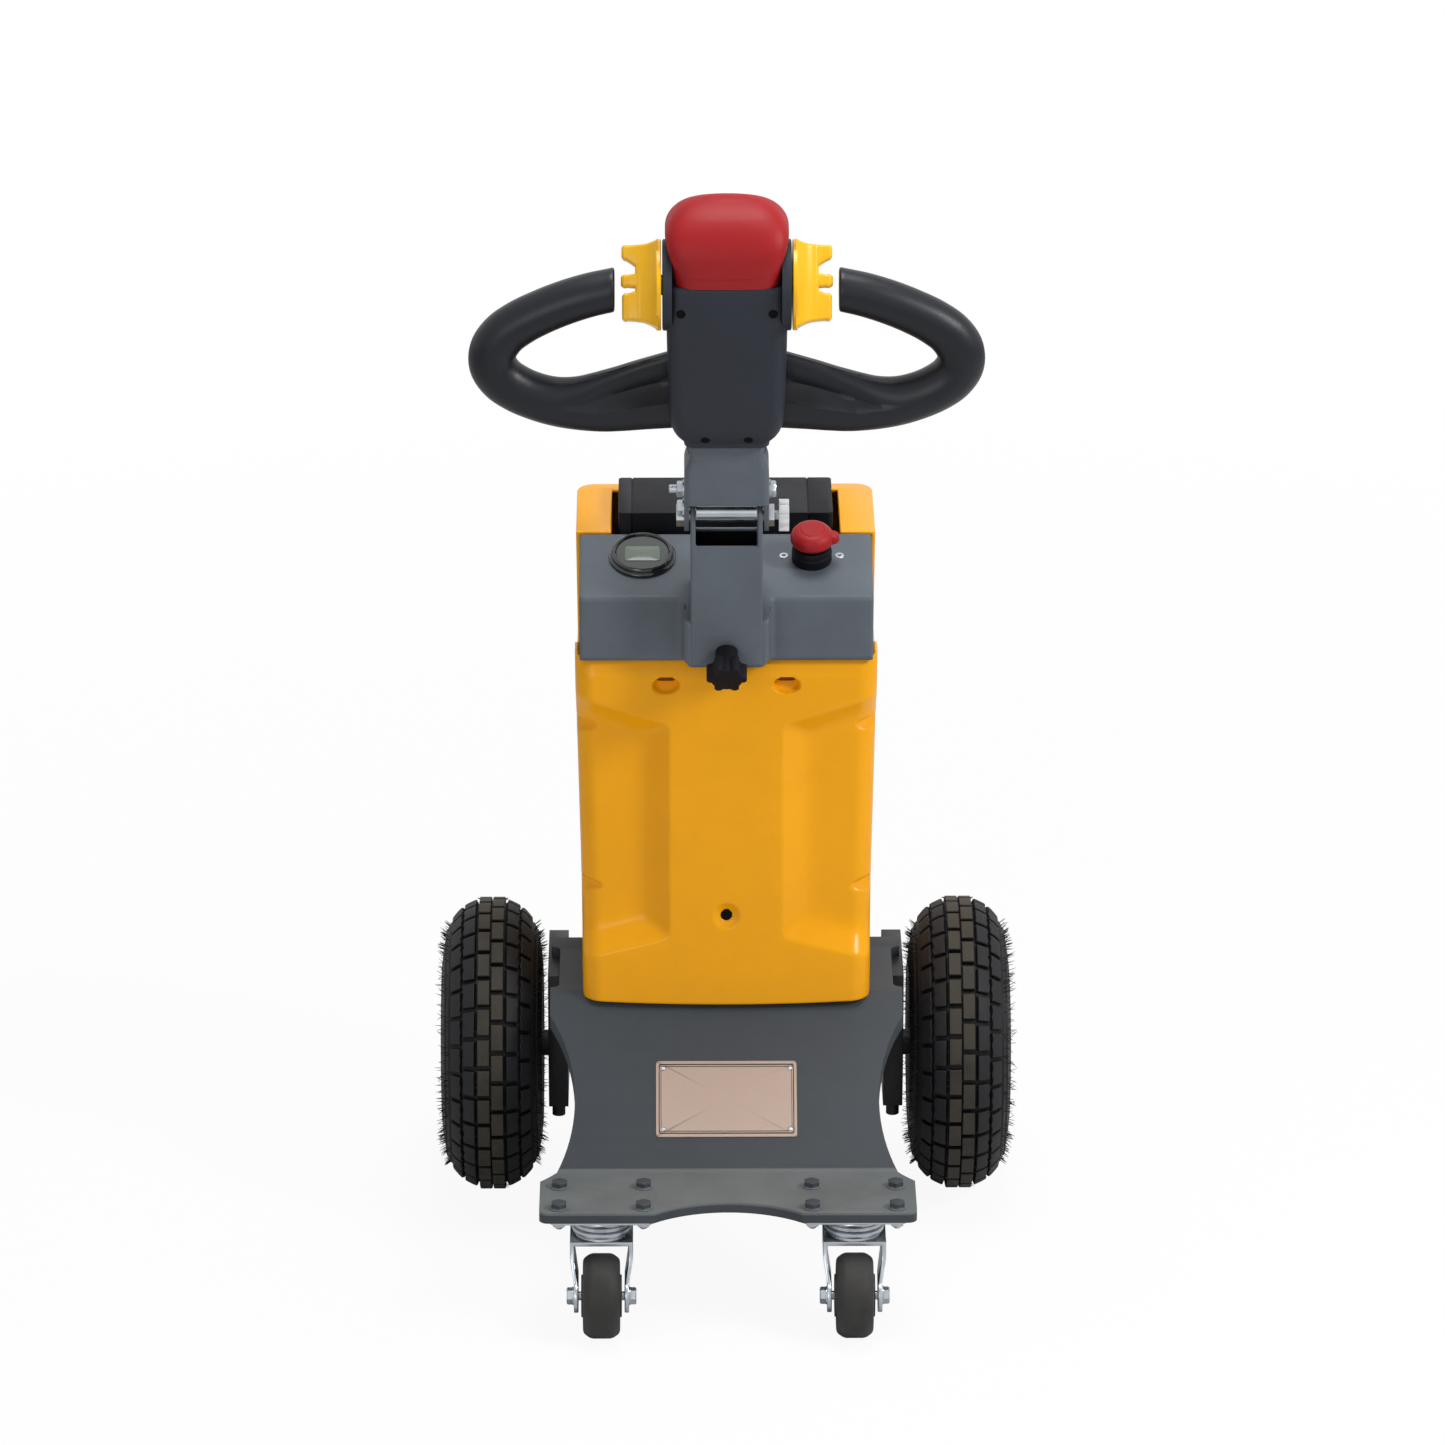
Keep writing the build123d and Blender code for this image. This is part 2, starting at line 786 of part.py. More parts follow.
# Rear cover: sides, back and top rim round the battery bay
with BuildPart() as rear_cover:
    for wall, low, high, mode in (
        (0, deck_z, housing_top, Mode.ADD),
        (panel, deck_z, housing_top - panel, Mode.SUBTRACT),
    ):
        for z in (low, high):
            with BuildSketch(Plane.XY.offset(z)) as ring:
                with Locations((0, (housing_split + housing_rear - wall) / 2)):
                    Rectangle(2 * (cover_half(z) - wall), housing_rear - wall - housing_split)
                fillet(ring.vertices().group_by(Axis.Y)[-1], cover_corner - wall)
        loft(mode=mode)
    with BuildSketch(Plane.XY.offset(housing_top - 2 * panel)):
        with Locations((0, (housing_split + housing_rear - bay_rim) / 2)):
            Rectangle(2 * bay_half, housing_rear - bay_rim - housing_split)
    extrude(amount=3 * panel, mode=Mode.SUBTRACT)
    with BuildSketch(Plane.YZ):
        with BuildLine():
            Polyline(
                (housing_split - 1, console_low),
                (console_back, console_low),
                (console_back, housing_top + overcut),
                (housing_split - 1, housing_top + overcut),
                close=True,
            )
        make_face()
    extrude(amount=2 * housing_half_top, both=True, mode=Mode.SUBTRACT)
rear_cover.part.label = "rear_cover"
export_step(rear_cover.part, "parts/rear_cover.step")


# Folded console: front, tilted top and side flanges, welded round the column
with BuildPart() as console:
    with BuildSketch(Plane.YZ):
        with BuildLine():
            Polyline(
                (housing_front, console_low),
                (housing_front, console_brow),
                (console_back, console_crest),
                (console_back, console_low),
                close=True,
            )
        make_face()
    extrude(amount=console_half, both=True)
    with BuildSketch(Plane.YZ):
        with BuildLine():
            slope = tan(radians(console_tilt))
            drop = sheet / cos(radians(console_tilt))
            Polyline(
                (housing_front + sheet, console_low - 1),
                (housing_front + sheet, console_brow + sheet * slope - drop),
                (console_back + 1, console_crest + slope - drop),
                (console_back + 1, console_low - 1),
                close=True,
            )
        make_face()
    extrude(amount=console_half - sheet, both=True, mode=Mode.SUBTRACT)
    for start, reach, half in (
        (0, collar_out, collar_half),
        (collar_out, collar_out / 2, collar_front_half),
    ):
        with BuildSketch(Plane.XZ.offset(-housing_front + start)):
            with BuildLine():
                Polyline(
                    (-half, console_brow),
                    (half, console_brow),
                    (half, console_low),
                    (half - collar_drop, console_low - collar_drop),
                    (collar_drop - half, console_low - collar_drop),
                    (-half, console_low),
                    close=True,
                )
            make_face()
        extrude(amount=reach)
    with BuildSketch(Plane.YZ):
        with Locations((housing_front, console_low - collar_drop)):
            Rectangle(2 * collar_gap, 2 * collar_drop)
    extrude(amount=collar_half, both=True, mode=Mode.SUBTRACT)
    with BuildSketch(Plane.XY.offset(console_low - 2 * collar_drop)):
        with Locations((0, column_front + column_depth / 2)):
            Rectangle(2 * column_half, column_depth)
    extrude(amount=console_crest, mode=Mode.SUBTRACT)
console.part.label = "console"
export_step(console.part, "parts/console.step")


# Battery case in its bay, with two moulded seams over its top and front
battery_back = housing_rear - bay_rim - battery_gap
with BuildPart() as battery_case:
    with BuildSketch(Plane.XY.offset(deck_z)):
        with Locations((0, battery_back - battery_depth / 2)):
            RectangleRounded(2 * battery_half, battery_depth, battery_corner)
    extrude(amount=battery_top - deck_z)
    with BuildSketch(Plane.XY.offset(battery_top)):
        for x in seam_places:
            with Locations((x, battery_back - battery_depth / 2)):
                Rectangle(seam_width, battery_depth)
    extrude(amount=-seam_depth, mode=Mode.SUBTRACT)
    with BuildSketch(Plane.XZ.offset(-battery_back + battery_depth)):
        for x in seam_places:
            with Locations((x, (deck_z + battery_top) / 2)):
                Rectangle(seam_width, battery_top - deck_z)
    extrude(amount=-seam_depth, mode=Mode.SUBTRACT)
battery_case.part.label = "battery_case"
export_step(battery_case.part, "parts/battery_case.step")


# Column: square tube whose side walls rise into two ears
with BuildPart() as tiller_column:
    column_back = column_front + column_depth
    with BuildSketch(Plane.YZ):
        with BuildLine():
            Polyline(
                (column_front, column_low),
                (column_front, column_high),
                (hinge_y - ear_radius, hinge_z),
                (hinge_y + ear_radius, hinge_z),
                (column_back, column_high),
                (column_back, column_low),
                close=True,
            )
        make_face()
        with Locations((hinge_y, hinge_z)):
            Circle(ear_radius)
    extrude(amount=column_half, both=True)
    ear_top = hinge_z + ear_radius + overcut
    with BuildSketch(Plane.XZ.offset(-column_front)):
        with Locations((0, (column_high + ear_top) / 2)):
            Rectangle(2 * (column_half - column_wall), ear_top - column_high)
    extrude(amount=-2 * column_depth, both=True, mode=Mode.SUBTRACT)
    with BuildSketch(Plane.XY.offset(column_low + column_wall)):
        with Locations((0, column_front + column_depth / 2)):
            Rectangle(2 * (column_half - column_wall), column_depth - 2 * column_wall)
    extrude(amount=hinge_z, mode=Mode.SUBTRACT)
    with BuildSketch(Plane.YZ):
        with Locations((hinge_y, hinge_z)):
            Circle(hinge_radius + running_gap)
    extrude(amount=2 * column_half, both=True, mode=Mode.SUBTRACT)
tiller_column.part.label = "tiller_column"
export_step(tiller_column.part, "parts/tiller_column.step")


# Clamp knob at the foot of the column
with BuildPart() as column_knob:
    droop = radians(knob_droop)
    knob_plane = Plane(
        origin=(0, column_front, column_low + knob_up),
        x_dir=(1, 0, 0),
        z_dir=(0, -cos(droop), -sin(droop)),
    )
    with BuildSketch(knob_plane):
        Circle(knob_stem_radius)
    extrude(amount=knob_start)
    with BuildSketch(knob_plane.offset(knob_start)):
        Circle(knob_radius)
        with PolarLocations(knob_radius, knob_lobes):
            Circle(knob_lobe)
    extrude(amount=knob_t)
    with BuildSketch(Plane.YZ):
        with Locations((column_front + column_depth / 2, column_low + column_depth / 2)):
            Rectangle(column_depth, 2 * column_depth)
    extrude(amount=column_half, both=True, mode=Mode.SUBTRACT)
column_knob.part.label = "column_knob"
export_step(column_knob.part, "parts/column_knob.step")


# Battery gauge and emergency stop on the console's tilted top
tilt = radians(console_tilt)
top_normal = (0, -sin(tilt), cos(tilt))


def on_console(x, along):
    return Plane(
        origin=(
            x,
            housing_front + along * cos(tilt),
            console_brow + along * sin(tilt),
        ),
        x_dir=(1, 0, 0),
        z_dir=top_normal,
    )


with BuildPart() as gauge:
    with BuildSketch(on_console(gauge_x, gauge_along)):
        Circle(gauge_radius)
    extrude(amount=gauge_t)
    chamfer(gauge.faces().sort_by(Axis.Z)[-1].edges(), gauge_edge)
    with BuildSketch(on_console(gauge_x, gauge_along).offset(gauge_t)):
        Circle(gauge_glass_radius)
    extrude(amount=-gauge_glass_sunk, mode=Mode.SUBTRACT)
gauge.part.label = "gauge"
export_step(gauge.part, "parts/gauge.step")

with BuildPart() as estop_base:
    with BuildSketch(on_console(stop_x, stop_along)):
        Circle(stop_collar_radius)
    extrude(amount=stop_collar_t, taper=4)
estop_base.part.label = "estop_base"
export_step(estop_base.part, "parts/estop_base.step")

with BuildPart() as estop_knob:
    stop_neck = on_console(stop_x, stop_along).offset(stop_collar_t)
    with BuildSketch(stop_neck):
        Circle(0.75 * stop_head_radius)
    extrude(amount=stop_neck_t)
    with BuildSketch(stop_neck.offset(stop_neck_t)):
        Circle(stop_head_radius)
        with Locations((stop_head_radius - stop_lobe / 3, 0)):
            Circle(stop_lobe)
    extrude(amount=stop_head_t - stop_edge)
    with BuildSketch(stop_neck.offset(stop_neck_t + stop_head_t - stop_edge)):
        Circle(stop_head_radius)
    extrude(amount=stop_edge, taper=45)
estop_knob.part.label = "estop_knob"
export_step(estop_knob.part, "parts/estop_knob.step")


# Tiller. face_plane: x to the right, y up the tiller, z out towards the operator.
lean = radians(tiller_lean)
face_plane = Plane(
    origin=(0, hinge_y, hinge_z), x_dir=(1, 0, 0), z_dir=(0, -cos(lean), -sin(lean))
)
side_plane = Plane(
    origin=(0, hinge_y, hinge_z), x_dir=(0, -cos(lean), -sin(lean)), z_dir=(-1, 0, 0)
)
head_foot = Plane(
    origin=face_plane.from_local_coords((0, head_start, 0)),
    x_dir=face_plane.x_dir,
    z_dir=face_plane.z_dir,
)
with BuildPart() as tiller_arm:
    bracket_top = head_start - arm_below_head
    with BuildSketch(side_plane):
        with BuildLine():
            Polyline(
                (-arm_back, 0),
                (arm_back, 0),
                (arm_front + arm_wall, arm_web_start),
                (arm_front + arm_wall, bracket_top),
                (-arm_back - arm_wall, bracket_top),
                (-arm_back - arm_wall, arm_web_start),
                close=True,
            )
        make_face()
        Circle(arm_back)
    extrude(amount=arm_half, both=True)
    along = tiller_arm.edges().filter_by(lambda e: abs(e.tangent_at(0.5).X) < 0.1)
    chamfer(along.group_by(Axis.Z)[-1], arm_shoulder)
    front = tiller_arm.edges().filter_by(lambda e: abs(e.tangent_at(0.5).Z) > 0.98)
    fillet(front.group_by(Axis.Y)[0], arm_corner)
    with BuildSketch(side_plane):
        with Locations(((arm_front - 3 * arm_back) / 2, bracket_top / 2)):
            Rectangle(arm_front + 3 * arm_back, 2 * bracket_top)
    extrude(amount=arm_half - arm_wall, both=True, mode=Mode.SUBTRACT)
    tongue_high = head_start + head_socket
    with BuildSketch(side_plane):
        with BuildLine():
            Polyline(
                (-arm_back, tongue_start),
                (arm_front + arm_wall, tongue_start),
                (arm_front + arm_wall, tongue_high),
                (-arm_back, tongue_high),
                close=True,
            )
        make_face()
    extrude(amount=arm_half - arm_wall, both=True)
    with BuildSketch(side_plane):
        Circle(hinge_radius + skin_gap)
    extrude(amount=2 * arm_half, both=True, mode=Mode.SUBTRACT)
tiller_arm.part.label = "tiller_arm"
export_step(tiller_arm.part, "parts/tiller_arm.step")

with BuildPart() as hinge_bolt:
    with BuildSketch(side_plane):
        Circle(hinge_radius)
    extrude(amount=arm_half, both=True)
    with BuildSketch(side_plane.offset(arm_half)):
        RegularPolygon(hinge_head_flat, 6)
    extrude(amount=hinge_head_t)
    with BuildSketch(side_plane.offset(-arm_half)):
        RegularPolygon(hinge_head_flat, 6)
    extrude(amount=-hinge_nut_t)
hinge_bolt.part.label = "hinge_bolt"
export_step(hinge_bolt.part, "parts/hinge_bolt.step")

with BuildPart() as hinge_knob:
    with BuildSketch(side_plane.offset(-arm_half - hinge_nut_t)):
        Circle(hinge_knob_radius / 3)
    extrude(amount=-hinge_knob_neck)
    with BuildSketch(side_plane.offset(-arm_half - hinge_nut_t - hinge_knob_neck)):
        Circle(hinge_knob_radius)
        with PolarLocations(hinge_knob_radius, hinge_knob_lobes):
            Circle(hinge_knob_radius / 4)
    extrude(amount=-hinge_knob_t)
hinge_knob.part.label = "hinge_knob"
export_step(hinge_knob.part, "parts/hinge_knob.step")


# Head: rounded sections up the lean, with a round cheek on each side
head_top = head_height - button_height
head_levels = [(share * head_height, wide, deep) for share, wide, deep in head_sections]
with BuildPart() as tiller_head:
    for up, wide, deep in (*head_levels, (head_top, 1, 1)):
        foot = face_plane.from_local_coords((0, head_start + up, 0))
        with BuildSketch(Plane(origin=foot, x_dir=(1, 0, 0), z_dir=face_plane.y_dir)):
            with Locations((0, deep * (head_back - head_front) / 2)):
                RectangleRounded(2 * wide * head_half, deep * (head_front + head_back), head_corner)
    loft(ruled=True)
    with BuildSketch(side_plane):
        with Locations((thumb_forward, head_start + thumb_up)):
            Circle(cheek_radius)
    extrude(amount=head_half + cheek_out, both=True)
    with BuildSketch(side_plane):
        with BuildLine():
            Polyline(
                (-cheek_radius, head_start + head_top),
                (button_front, head_start + head_top),
                (button_front, head_start + head_height),
                (-cheek_radius, head_start + head_height),
                close=True,
            )
        make_face()
    extrude(amount=button_half, both=True, mode=Mode.SUBTRACT)
    with BuildSketch(side_plane):
        with BuildLine():
            Polyline(
                (-arm_back, head_start - 1),
                (arm_front + arm_wall, head_start - 1),
                (arm_front + arm_wall, head_start + head_socket),
                (-arm_back, head_start + head_socket),
                close=True,
            )
        make_face()
    extrude(amount=arm_half - arm_wall, both=True, mode=Mode.SUBTRACT)
tiller_head.part.label = "tiller_head"
export_step(tiller_head.part, "parts/tiller_head.step")

with BuildPart() as belly_button:
    base = head_start + head_top
    with BuildSketch(face_plane.offset(-button_back)):
        with BuildLine():
            Polyline(
                (0, base),
                *[(x * button_half, base + h * button_height) for x, h in button_outline],
                (0, base + button_height),
            )
            mirror(about=Plane.YZ)
        make_face()
    extrude(amount=button_front + button_back)
    with BuildSketch(side_plane):
        with BuildLine():
            Polyline(
                *[
                    (d * (button_front if d > 0 else button_back), base + h * button_height)
                    for d, h in button_profile
                ],
                close=True,
            )
        make_face()
    extrude(amount=2 * button_half, both=True, mode=Mode.INTERSECT)
    foot = face_plane.from_local_coords((0, base, 0))
    with BuildSketch(Plane(origin=foot, x_dir=(1, 0, 0), z_dir=face_plane.y_dir)):
        with Locations((0, (button_back - button_front) / 2)):
            RectangleRounded(2 * button_half, button_front + button_back, button_corner)
    extrude(amount=button_height, mode=Mode.INTERSECT)
belly_button.part.label = "belly_button"
export_step(belly_button.part, "parts/belly_button.step")

# Two looped grips. Each rises from the foot of the head, turns at the elbow and comes
# back towards the thumb wheel. The left one is the right one mirrored.
with BuildPart() as grip:
    with BuildLine() as loop:
        upper = TangentArc((elbow_x, elbow_h), (elbow_top_x, elbow_top_h), tangent=(0, 1))
        TangentArc(upper @ 1, (grip_end_x, grip_end_h), tangent=upper % 1)
        lower = TangentArc((elbow_x, elbow_h), (elbow_low_x, elbow_low_h), tangent=(0, -1))
        TangentArc(lower @ 1, (grip_low_x, grip_low_h), tangent=lower % 1)
    path = loop.wires()[0]
    with BuildSketch(Plane(origin=path @ 0, z_dir=path % 0)):
        Circle(grip_radius)
    sweep(path=path)
    for x, h, tall, deep in web_sections:
        with BuildSketch(Plane(origin=(x, h, 0), x_dir=(0, 1, 0), z_dir=(1, 0, 0))):
            RectangleRounded(tall, deep, (deep - web_flat) / 2)
    loft(ruled=True)
right_grip = head_foot.offset(grip_forward).location * grip.part - tiller_head.part
right_grip = right_grip.solids().sort_by(SortBy.VOLUME)[-1]
for name, s in sides:
    grip_solid = right_grip if s > 0 else right_grip.mirror(Plane.YZ)
    grip_solid.label = f"grip_{name}"
    export_step(grip_solid, f"parts/grip_{name}.step")


# Thumb wheels: a round plate with three fingers, on each side of the head
thumb_pivot = face_plane.from_local_coords((0, head_start + thumb_up, thumb_forward))
thumb_plane = Plane(
    origin=thumb_pivot,
    x_dir=(1, 0, 0),
    z_dir=(0, -cos(radians(thumb_rise)), sin(radians(thumb_rise))),
)
plate_in = head_half + cheek_out + thumb_gap
for name, s in sides:
    with BuildPart() as butterfly:
        with BuildSketch(thumb_plane.offset(-thumb_half_deep)):
            with BuildLine():
                Polyline(*[(s * (plate_in + out), up) for out, up in thumb_fingers], close=True)
            make_face()
        extrude(amount=2 * thumb_half_deep)
        with BuildSketch(Plane.YZ.offset(s * plate_in)):
            with Locations((thumb_pivot.Y, thumb_pivot.Z)):
                Circle(cheek_radius)
        extrude(amount=s * thumb_plate)
        with BuildSketch(Plane.YZ.offset(s * (head_half + cheek_out))):
            with Locations((thumb_pivot.Y, thumb_pivot.Z)):
                Circle(thumb_pivot_radius)
        extrude(amount=s * (thumb_gap + thumb_plate))
    butterfly.part.label = f"butterfly_{name}"
    export_step(butterfly.part, f"parts/butterfly_{name}.step")


# Hitch rail: an upright plate with two groups of holes, and its gussets under the deck
with BuildPart() as hitch_rail:
    with BuildSketch(Plane.XZ.offset(-tongue_end)):
        with Locations((0, (rail_low + rail_high) / 2)):
            RectangleRounded(2 * rail_half, rail_high - rail_low, rail_corner)
        for z in (jaw_z, spare_z):
            with Locations((0, z)):
                with GridLocations(rail_hole_x, rail_hole_z, 2, 2):
                    Circle(rail_hole_radius, mode=Mode.SUBTRACT)
    extrude(amount=-rail_t)
    for name, s in sides:
        with BuildSketch(Plane.YZ.offset(s * gusset_x)):
            with BuildLine():
                Polyline(
                    (tongue_end, deck_z - plate),
                    (tongue_end - gusset_long, deck_z - plate),
                    (tongue_end - gusset_long / 3, rail_low + rail_t),
                    (tongue_end, rail_low + rail_t),
                    close=True,
                )
            make_face()
        extrude(amount=-s * rail_t)
hitch_rail.part.label = "hitch_rail"
export_step(hitch_rail.part, "parts/hitch_rail.step")


# Tow jaw: flange and two tongues with a pin hole
jaw_base = tongue_end + rail_t
pin_y = jaw_base + jaw_flange_t + jaw_reach - tow_pin_inset
with BuildPart() as tow_jaw:
    with BuildSketch(Plane.XZ.offset(-jaw_base)):
        with Locations((0, jaw_z)):
            RectangleRounded(2 * jaw_flange_half, jaw_flange_tall, rail_corner)
            with GridLocations(rail_hole_x, rail_hole_z, 2, 2):
                Circle(rail_hole_radius, mode=Mode.SUBTRACT)
    extrude(amount=-jaw_flange_t)
    for level in (jaw_z - jaw_gap / 2 - jaw_t, jaw_z + jaw_gap / 2):
        with BuildSketch(Plane.XY.offset(level)):
            with Locations((0, (jaw_base + jaw_flange_t + pin_y) / 2)):
                Rectangle(2 * jaw_half, pin_y - jaw_base - jaw_flange_t)
            with Locations((0, pin_y)):
                Circle(tow_pin_inset)
            with Locations((0, pin_y)):
                Circle(tow_pin_radius + running_gap, mode=Mode.SUBTRACT)
        extrude(amount=jaw_t)
tow_jaw.part.label = "tow_jaw"
export_step(tow_jaw.part, "parts/tow_jaw.step")


# Drop pin with its collar and lifting ring
with BuildPart() as tow_pin:
    pin_top = jaw_z + jaw_gap / 2 + jaw_t
    pin_low = jaw_z - jaw_gap / 2 - jaw_t - pin_stub
    with BuildSketch(Plane.XY.offset(pin_low)):
        with Locations((0, pin_y)):
            Circle(tow_pin_radius)
    extrude(amount=pin_top + pin_collar_t - pin_low)
    chamfer(tow_pin.faces().sort_by(Axis.Z)[0].edges(), pin_edge)
    with BuildSketch(Plane.XY.offset(pin_top)):
        with Locations((0, pin_y)):
            Circle(pin_collar_radius)
    extrude(amount=pin_collar_t)
    ring_z = pin_top + pin_collar_t + ring_radius - ring_sunk
    with BuildSketch(Plane.XY.offset(ring_z)):
        with Locations((ring_radius, pin_y)):
            RegularPolygon(ring_wire, 8)
    revolve(axis=Axis((0, pin_y, ring_z), (0, 1, 0)))
tow_pin.part.label = "tow_pin"
export_step(tow_pin.part, "parts/tow_pin.step")
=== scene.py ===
import json
import math
import bmesh
import bpy
import numpy as np
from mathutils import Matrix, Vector


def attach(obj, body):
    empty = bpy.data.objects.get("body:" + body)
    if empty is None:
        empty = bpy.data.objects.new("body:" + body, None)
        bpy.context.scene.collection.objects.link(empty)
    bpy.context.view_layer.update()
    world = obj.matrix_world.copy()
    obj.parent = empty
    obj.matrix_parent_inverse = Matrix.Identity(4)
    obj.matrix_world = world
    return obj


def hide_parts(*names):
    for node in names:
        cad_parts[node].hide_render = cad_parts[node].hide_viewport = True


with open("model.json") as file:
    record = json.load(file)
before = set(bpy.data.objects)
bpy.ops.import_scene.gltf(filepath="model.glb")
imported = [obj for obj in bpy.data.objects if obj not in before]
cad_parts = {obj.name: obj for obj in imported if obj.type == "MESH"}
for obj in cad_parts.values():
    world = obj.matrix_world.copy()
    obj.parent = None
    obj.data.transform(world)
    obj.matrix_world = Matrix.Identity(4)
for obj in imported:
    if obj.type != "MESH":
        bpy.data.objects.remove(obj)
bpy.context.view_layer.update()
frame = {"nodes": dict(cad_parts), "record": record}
print("frame loaded:", len(frame["nodes"]), "nodes")


# Shader maths: a wrapped output adds Math nodes when it is used in an expression.
class Sock:
    def __init__(self, shader, out):
        self.shader = shader
        self.out = out

    def __add__(self, other):
        return self.shader.maths("ADD", self, other)

    def __mul__(self, other):
        return self.shader.maths("MULTIPLY", self, other)


class Shader:
    # A node tree. node() takes a node's type, its settings and its sockets' values or links.
    def __init__(self, owner):
        owner.use_nodes = True
        self.tree = owner.node_tree
        self.tree.nodes.clear()

    def node(self, kind, settings, sockets, out=0):
        made = self.tree.nodes.new(kind)
        for key, value in settings.items():
            setattr(made, key, value)
        for key, value in sockets.items():
            self.put(made.inputs[key], value)
        return Sock(self, made.outputs[out])

    def end(self, kind, value):
        self.put(self.tree.nodes.new(kind).inputs[0], value)

    def put(self, socket, value):
        if isinstance(value, Sock):
            self.tree.links.new(value.out, socket)
        else:
            socket.default_value = value

    def maths(self, operation, a, b):
        return self.node("ShaderNodeMath", {"operation": operation}, {0: a, 1: b})


class Paint(Shader):
    # One material with a Principled surface
    def __init__(self, name):
        self.material = bpy.data.materials.new(name)
        super().__init__(self.material)
        self.surface = self.tree.nodes.new("ShaderNodeBsdfPrincipled")
        self.end("ShaderNodeOutputMaterial", Sock(self, self.surface.outputs[0]))
        self.coords = self.node("ShaderNodeTexCoord", {}, {}, "Object")

    def set(self, **sockets):
        for key, value in sockets.items():
            self.put(self.surface.inputs[key.replace("_", " ")], value)
        return self

    def noise(self, scale, detail, roughness, stretch=None):
        coords = self.coords
        if stretch is not None:
            coords = self.node("ShaderNodeMapping", {}, {"Vector": coords, "Scale": stretch})
        return self.node(
            "ShaderNodeTexNoise", {},
            {"Vector": coords, "Scale": scale, "Detail": detail, "Roughness": roughness},
        )

    def span(self, value, low, high, toLow=0.0, toHigh=1.0):
        return self.node(
            "ShaderNodeMapRange", {"interpolation_type": "SMOOTHSTEP"},
            {"Value": value, 1: low, 2: high, 3: toLow, 4: toHigh},
        )

    def blend(self, factor, first, second, kind="MIX"):
        settings = {"data_type": "RGBA", "blend_type": kind}
        return self.node("ShaderNodeMix", settings, {0: factor, 6: first, 7: second}, 2)

    def toned(self, base, factor, low, high):
        # The base colour times a grey that goes from low to high
        return self.blend(1.0, base, self.blend(factor, (low,) * 3 + (1,), (high,) * 3 + (1,)), "MULTIPLY")

    def bump(self, height, distance):
        return self.node("ShaderNodeBump", {}, {"Strength": 1.0, "Distance": distance, "Height": height})

    def attribute(self, name):
        return self.node("ShaderNodeAttribute", {"attribute_name": name}, {}, "Fac")


def toLinear(*colour):
    # sRGB, 0 to 255, as linear light with full opacity
    shares = [c / 255 for c in colour]
    return (*(c / 12.92 if c <= 0.04045 else ((c + 0.055) / 1.055) ** 2.4 for c in shares), 1.0)


# Finishes: colour, mottle, grain in cells per metre, roughness from and to, bump in metres, and
# gleam where it isn't the usual one
finishes = {
    "consolePaint": ((88, 95, 103), 0.12, 1100, (0.42, 0.55), 0.0001),
    "housingPlastic": ((240, 164, 6), 0.04, 260, (0.3, 0.38), 0.00004, 0.1),
    "thumbPlastic": ((240, 182, 20), 0.05, 300, (0.28, 0.36), 0.00003, 0.3),
    "headPlastic": ((37, 41, 50), 0.1, 2600, (0.48, 0.6), 0.00006),
    "gripRubber": ((17, 20, 27), 0.12, 2200, (0.3, 0.42), 0.00008, 0.3),
    "batteryPlastic": ((17, 18, 23), 0.12, 2400, (0.45, 0.6), 0.00007, 0.12),
    "blackSteel": ((34, 35, 38), 0.2, 900, (0.38, 0.55), 0.0001),
    "redPlastic": ((152, 26, 30), 0.06, 320, (0.42, 0.52), 0.00003, 0.2),
    "gaugeBlack": ((22, 23, 26), 0.1, 800, (0.12, 0.2), 0.00002),
    "gaugeGlass": ((66, 71, 70), 0.06, 500, (0.1, 0.16), 0.00001),
    "nameplateMetal": ((162, 143, 131), 0.07, 420, (0.42, 0.56), 0.00002),
    # painted shade for holes and hollows that show dark
    "holeBlack": ((14, 13, 12), 0.1, 500, (0.6, 0.75), 0.00001, 0.05),
    "wellShade": ((108, 64, 10), 0.1, 500, (0.5, 0.65), 0.00001, 0.05),
    "displayGrey": ((112, 122, 112), 0.05, 500, (0.2, 0.3), 0.00001),
    "knobClear": ((214, 216, 218), 0.1, 500, (0.25, 0.4), 0.00005),
    "rimPaint": ((92, 95, 99), 0.15, 800, (0.35, 0.5), 0.00008),
    "castCase": ((62, 64, 67), 0.3, 700, (0.6, 0.78), 0.0004),
    "driveTyre": ((36, 36, 37), 0.35, 600, (0.62, 0.82), 0.00015),
    "hairRubber": ((16, 16, 17), 0.3, 900, (0.6, 0.8), 0.00002),
    "casterRubber": ((47, 46, 45), 0.4, 700, (0.5, 0.68), 0.0002),
    "casterHub": ((60, 58, 56), 0.2, 900, (0.5, 0.65), 0.0001),
}
# Deck grey; scuffAndPaintedLight is painted top light on the level strip's upward face
deckCoat = dict(
    colour=(57, 62, 67), scuffAndPaintedLight=(98, 103, 105), stripTop=0.119, stripBand=0.0015,
    finish=(0.14, 900, (0.56, 0.68), 0.00012, 0.3),
)
treadRubber = dict(
    top=(58, 54, 47), shoulder=(33, 34, 37), groove=(14, 14, 15), wall=(25, 25, 27),
    rough=(0.5, 0.72), bump=0.0002, gleam=0.2,
)
platedSteel = dict(colour=(176, 182, 188), rough=(0.24, 0.42), grain=140, bump=0.00003)
coats = {
    "nameplateMetal": dict(Metallic=0.3),
    "gaugeGlass": dict(Coat_Weight=0.6, Coat_Roughness=0.05),
    "gaugeBlack": dict(Coat_Weight=0.8, Coat_Roughness=0.05),
    "thumbPlastic": dict(Coat_Weight=0.12, Coat_Roughness=0.18),
    "housingPlastic": dict(Coat_Weight=0.2, Coat_Roughness=0.14),
}


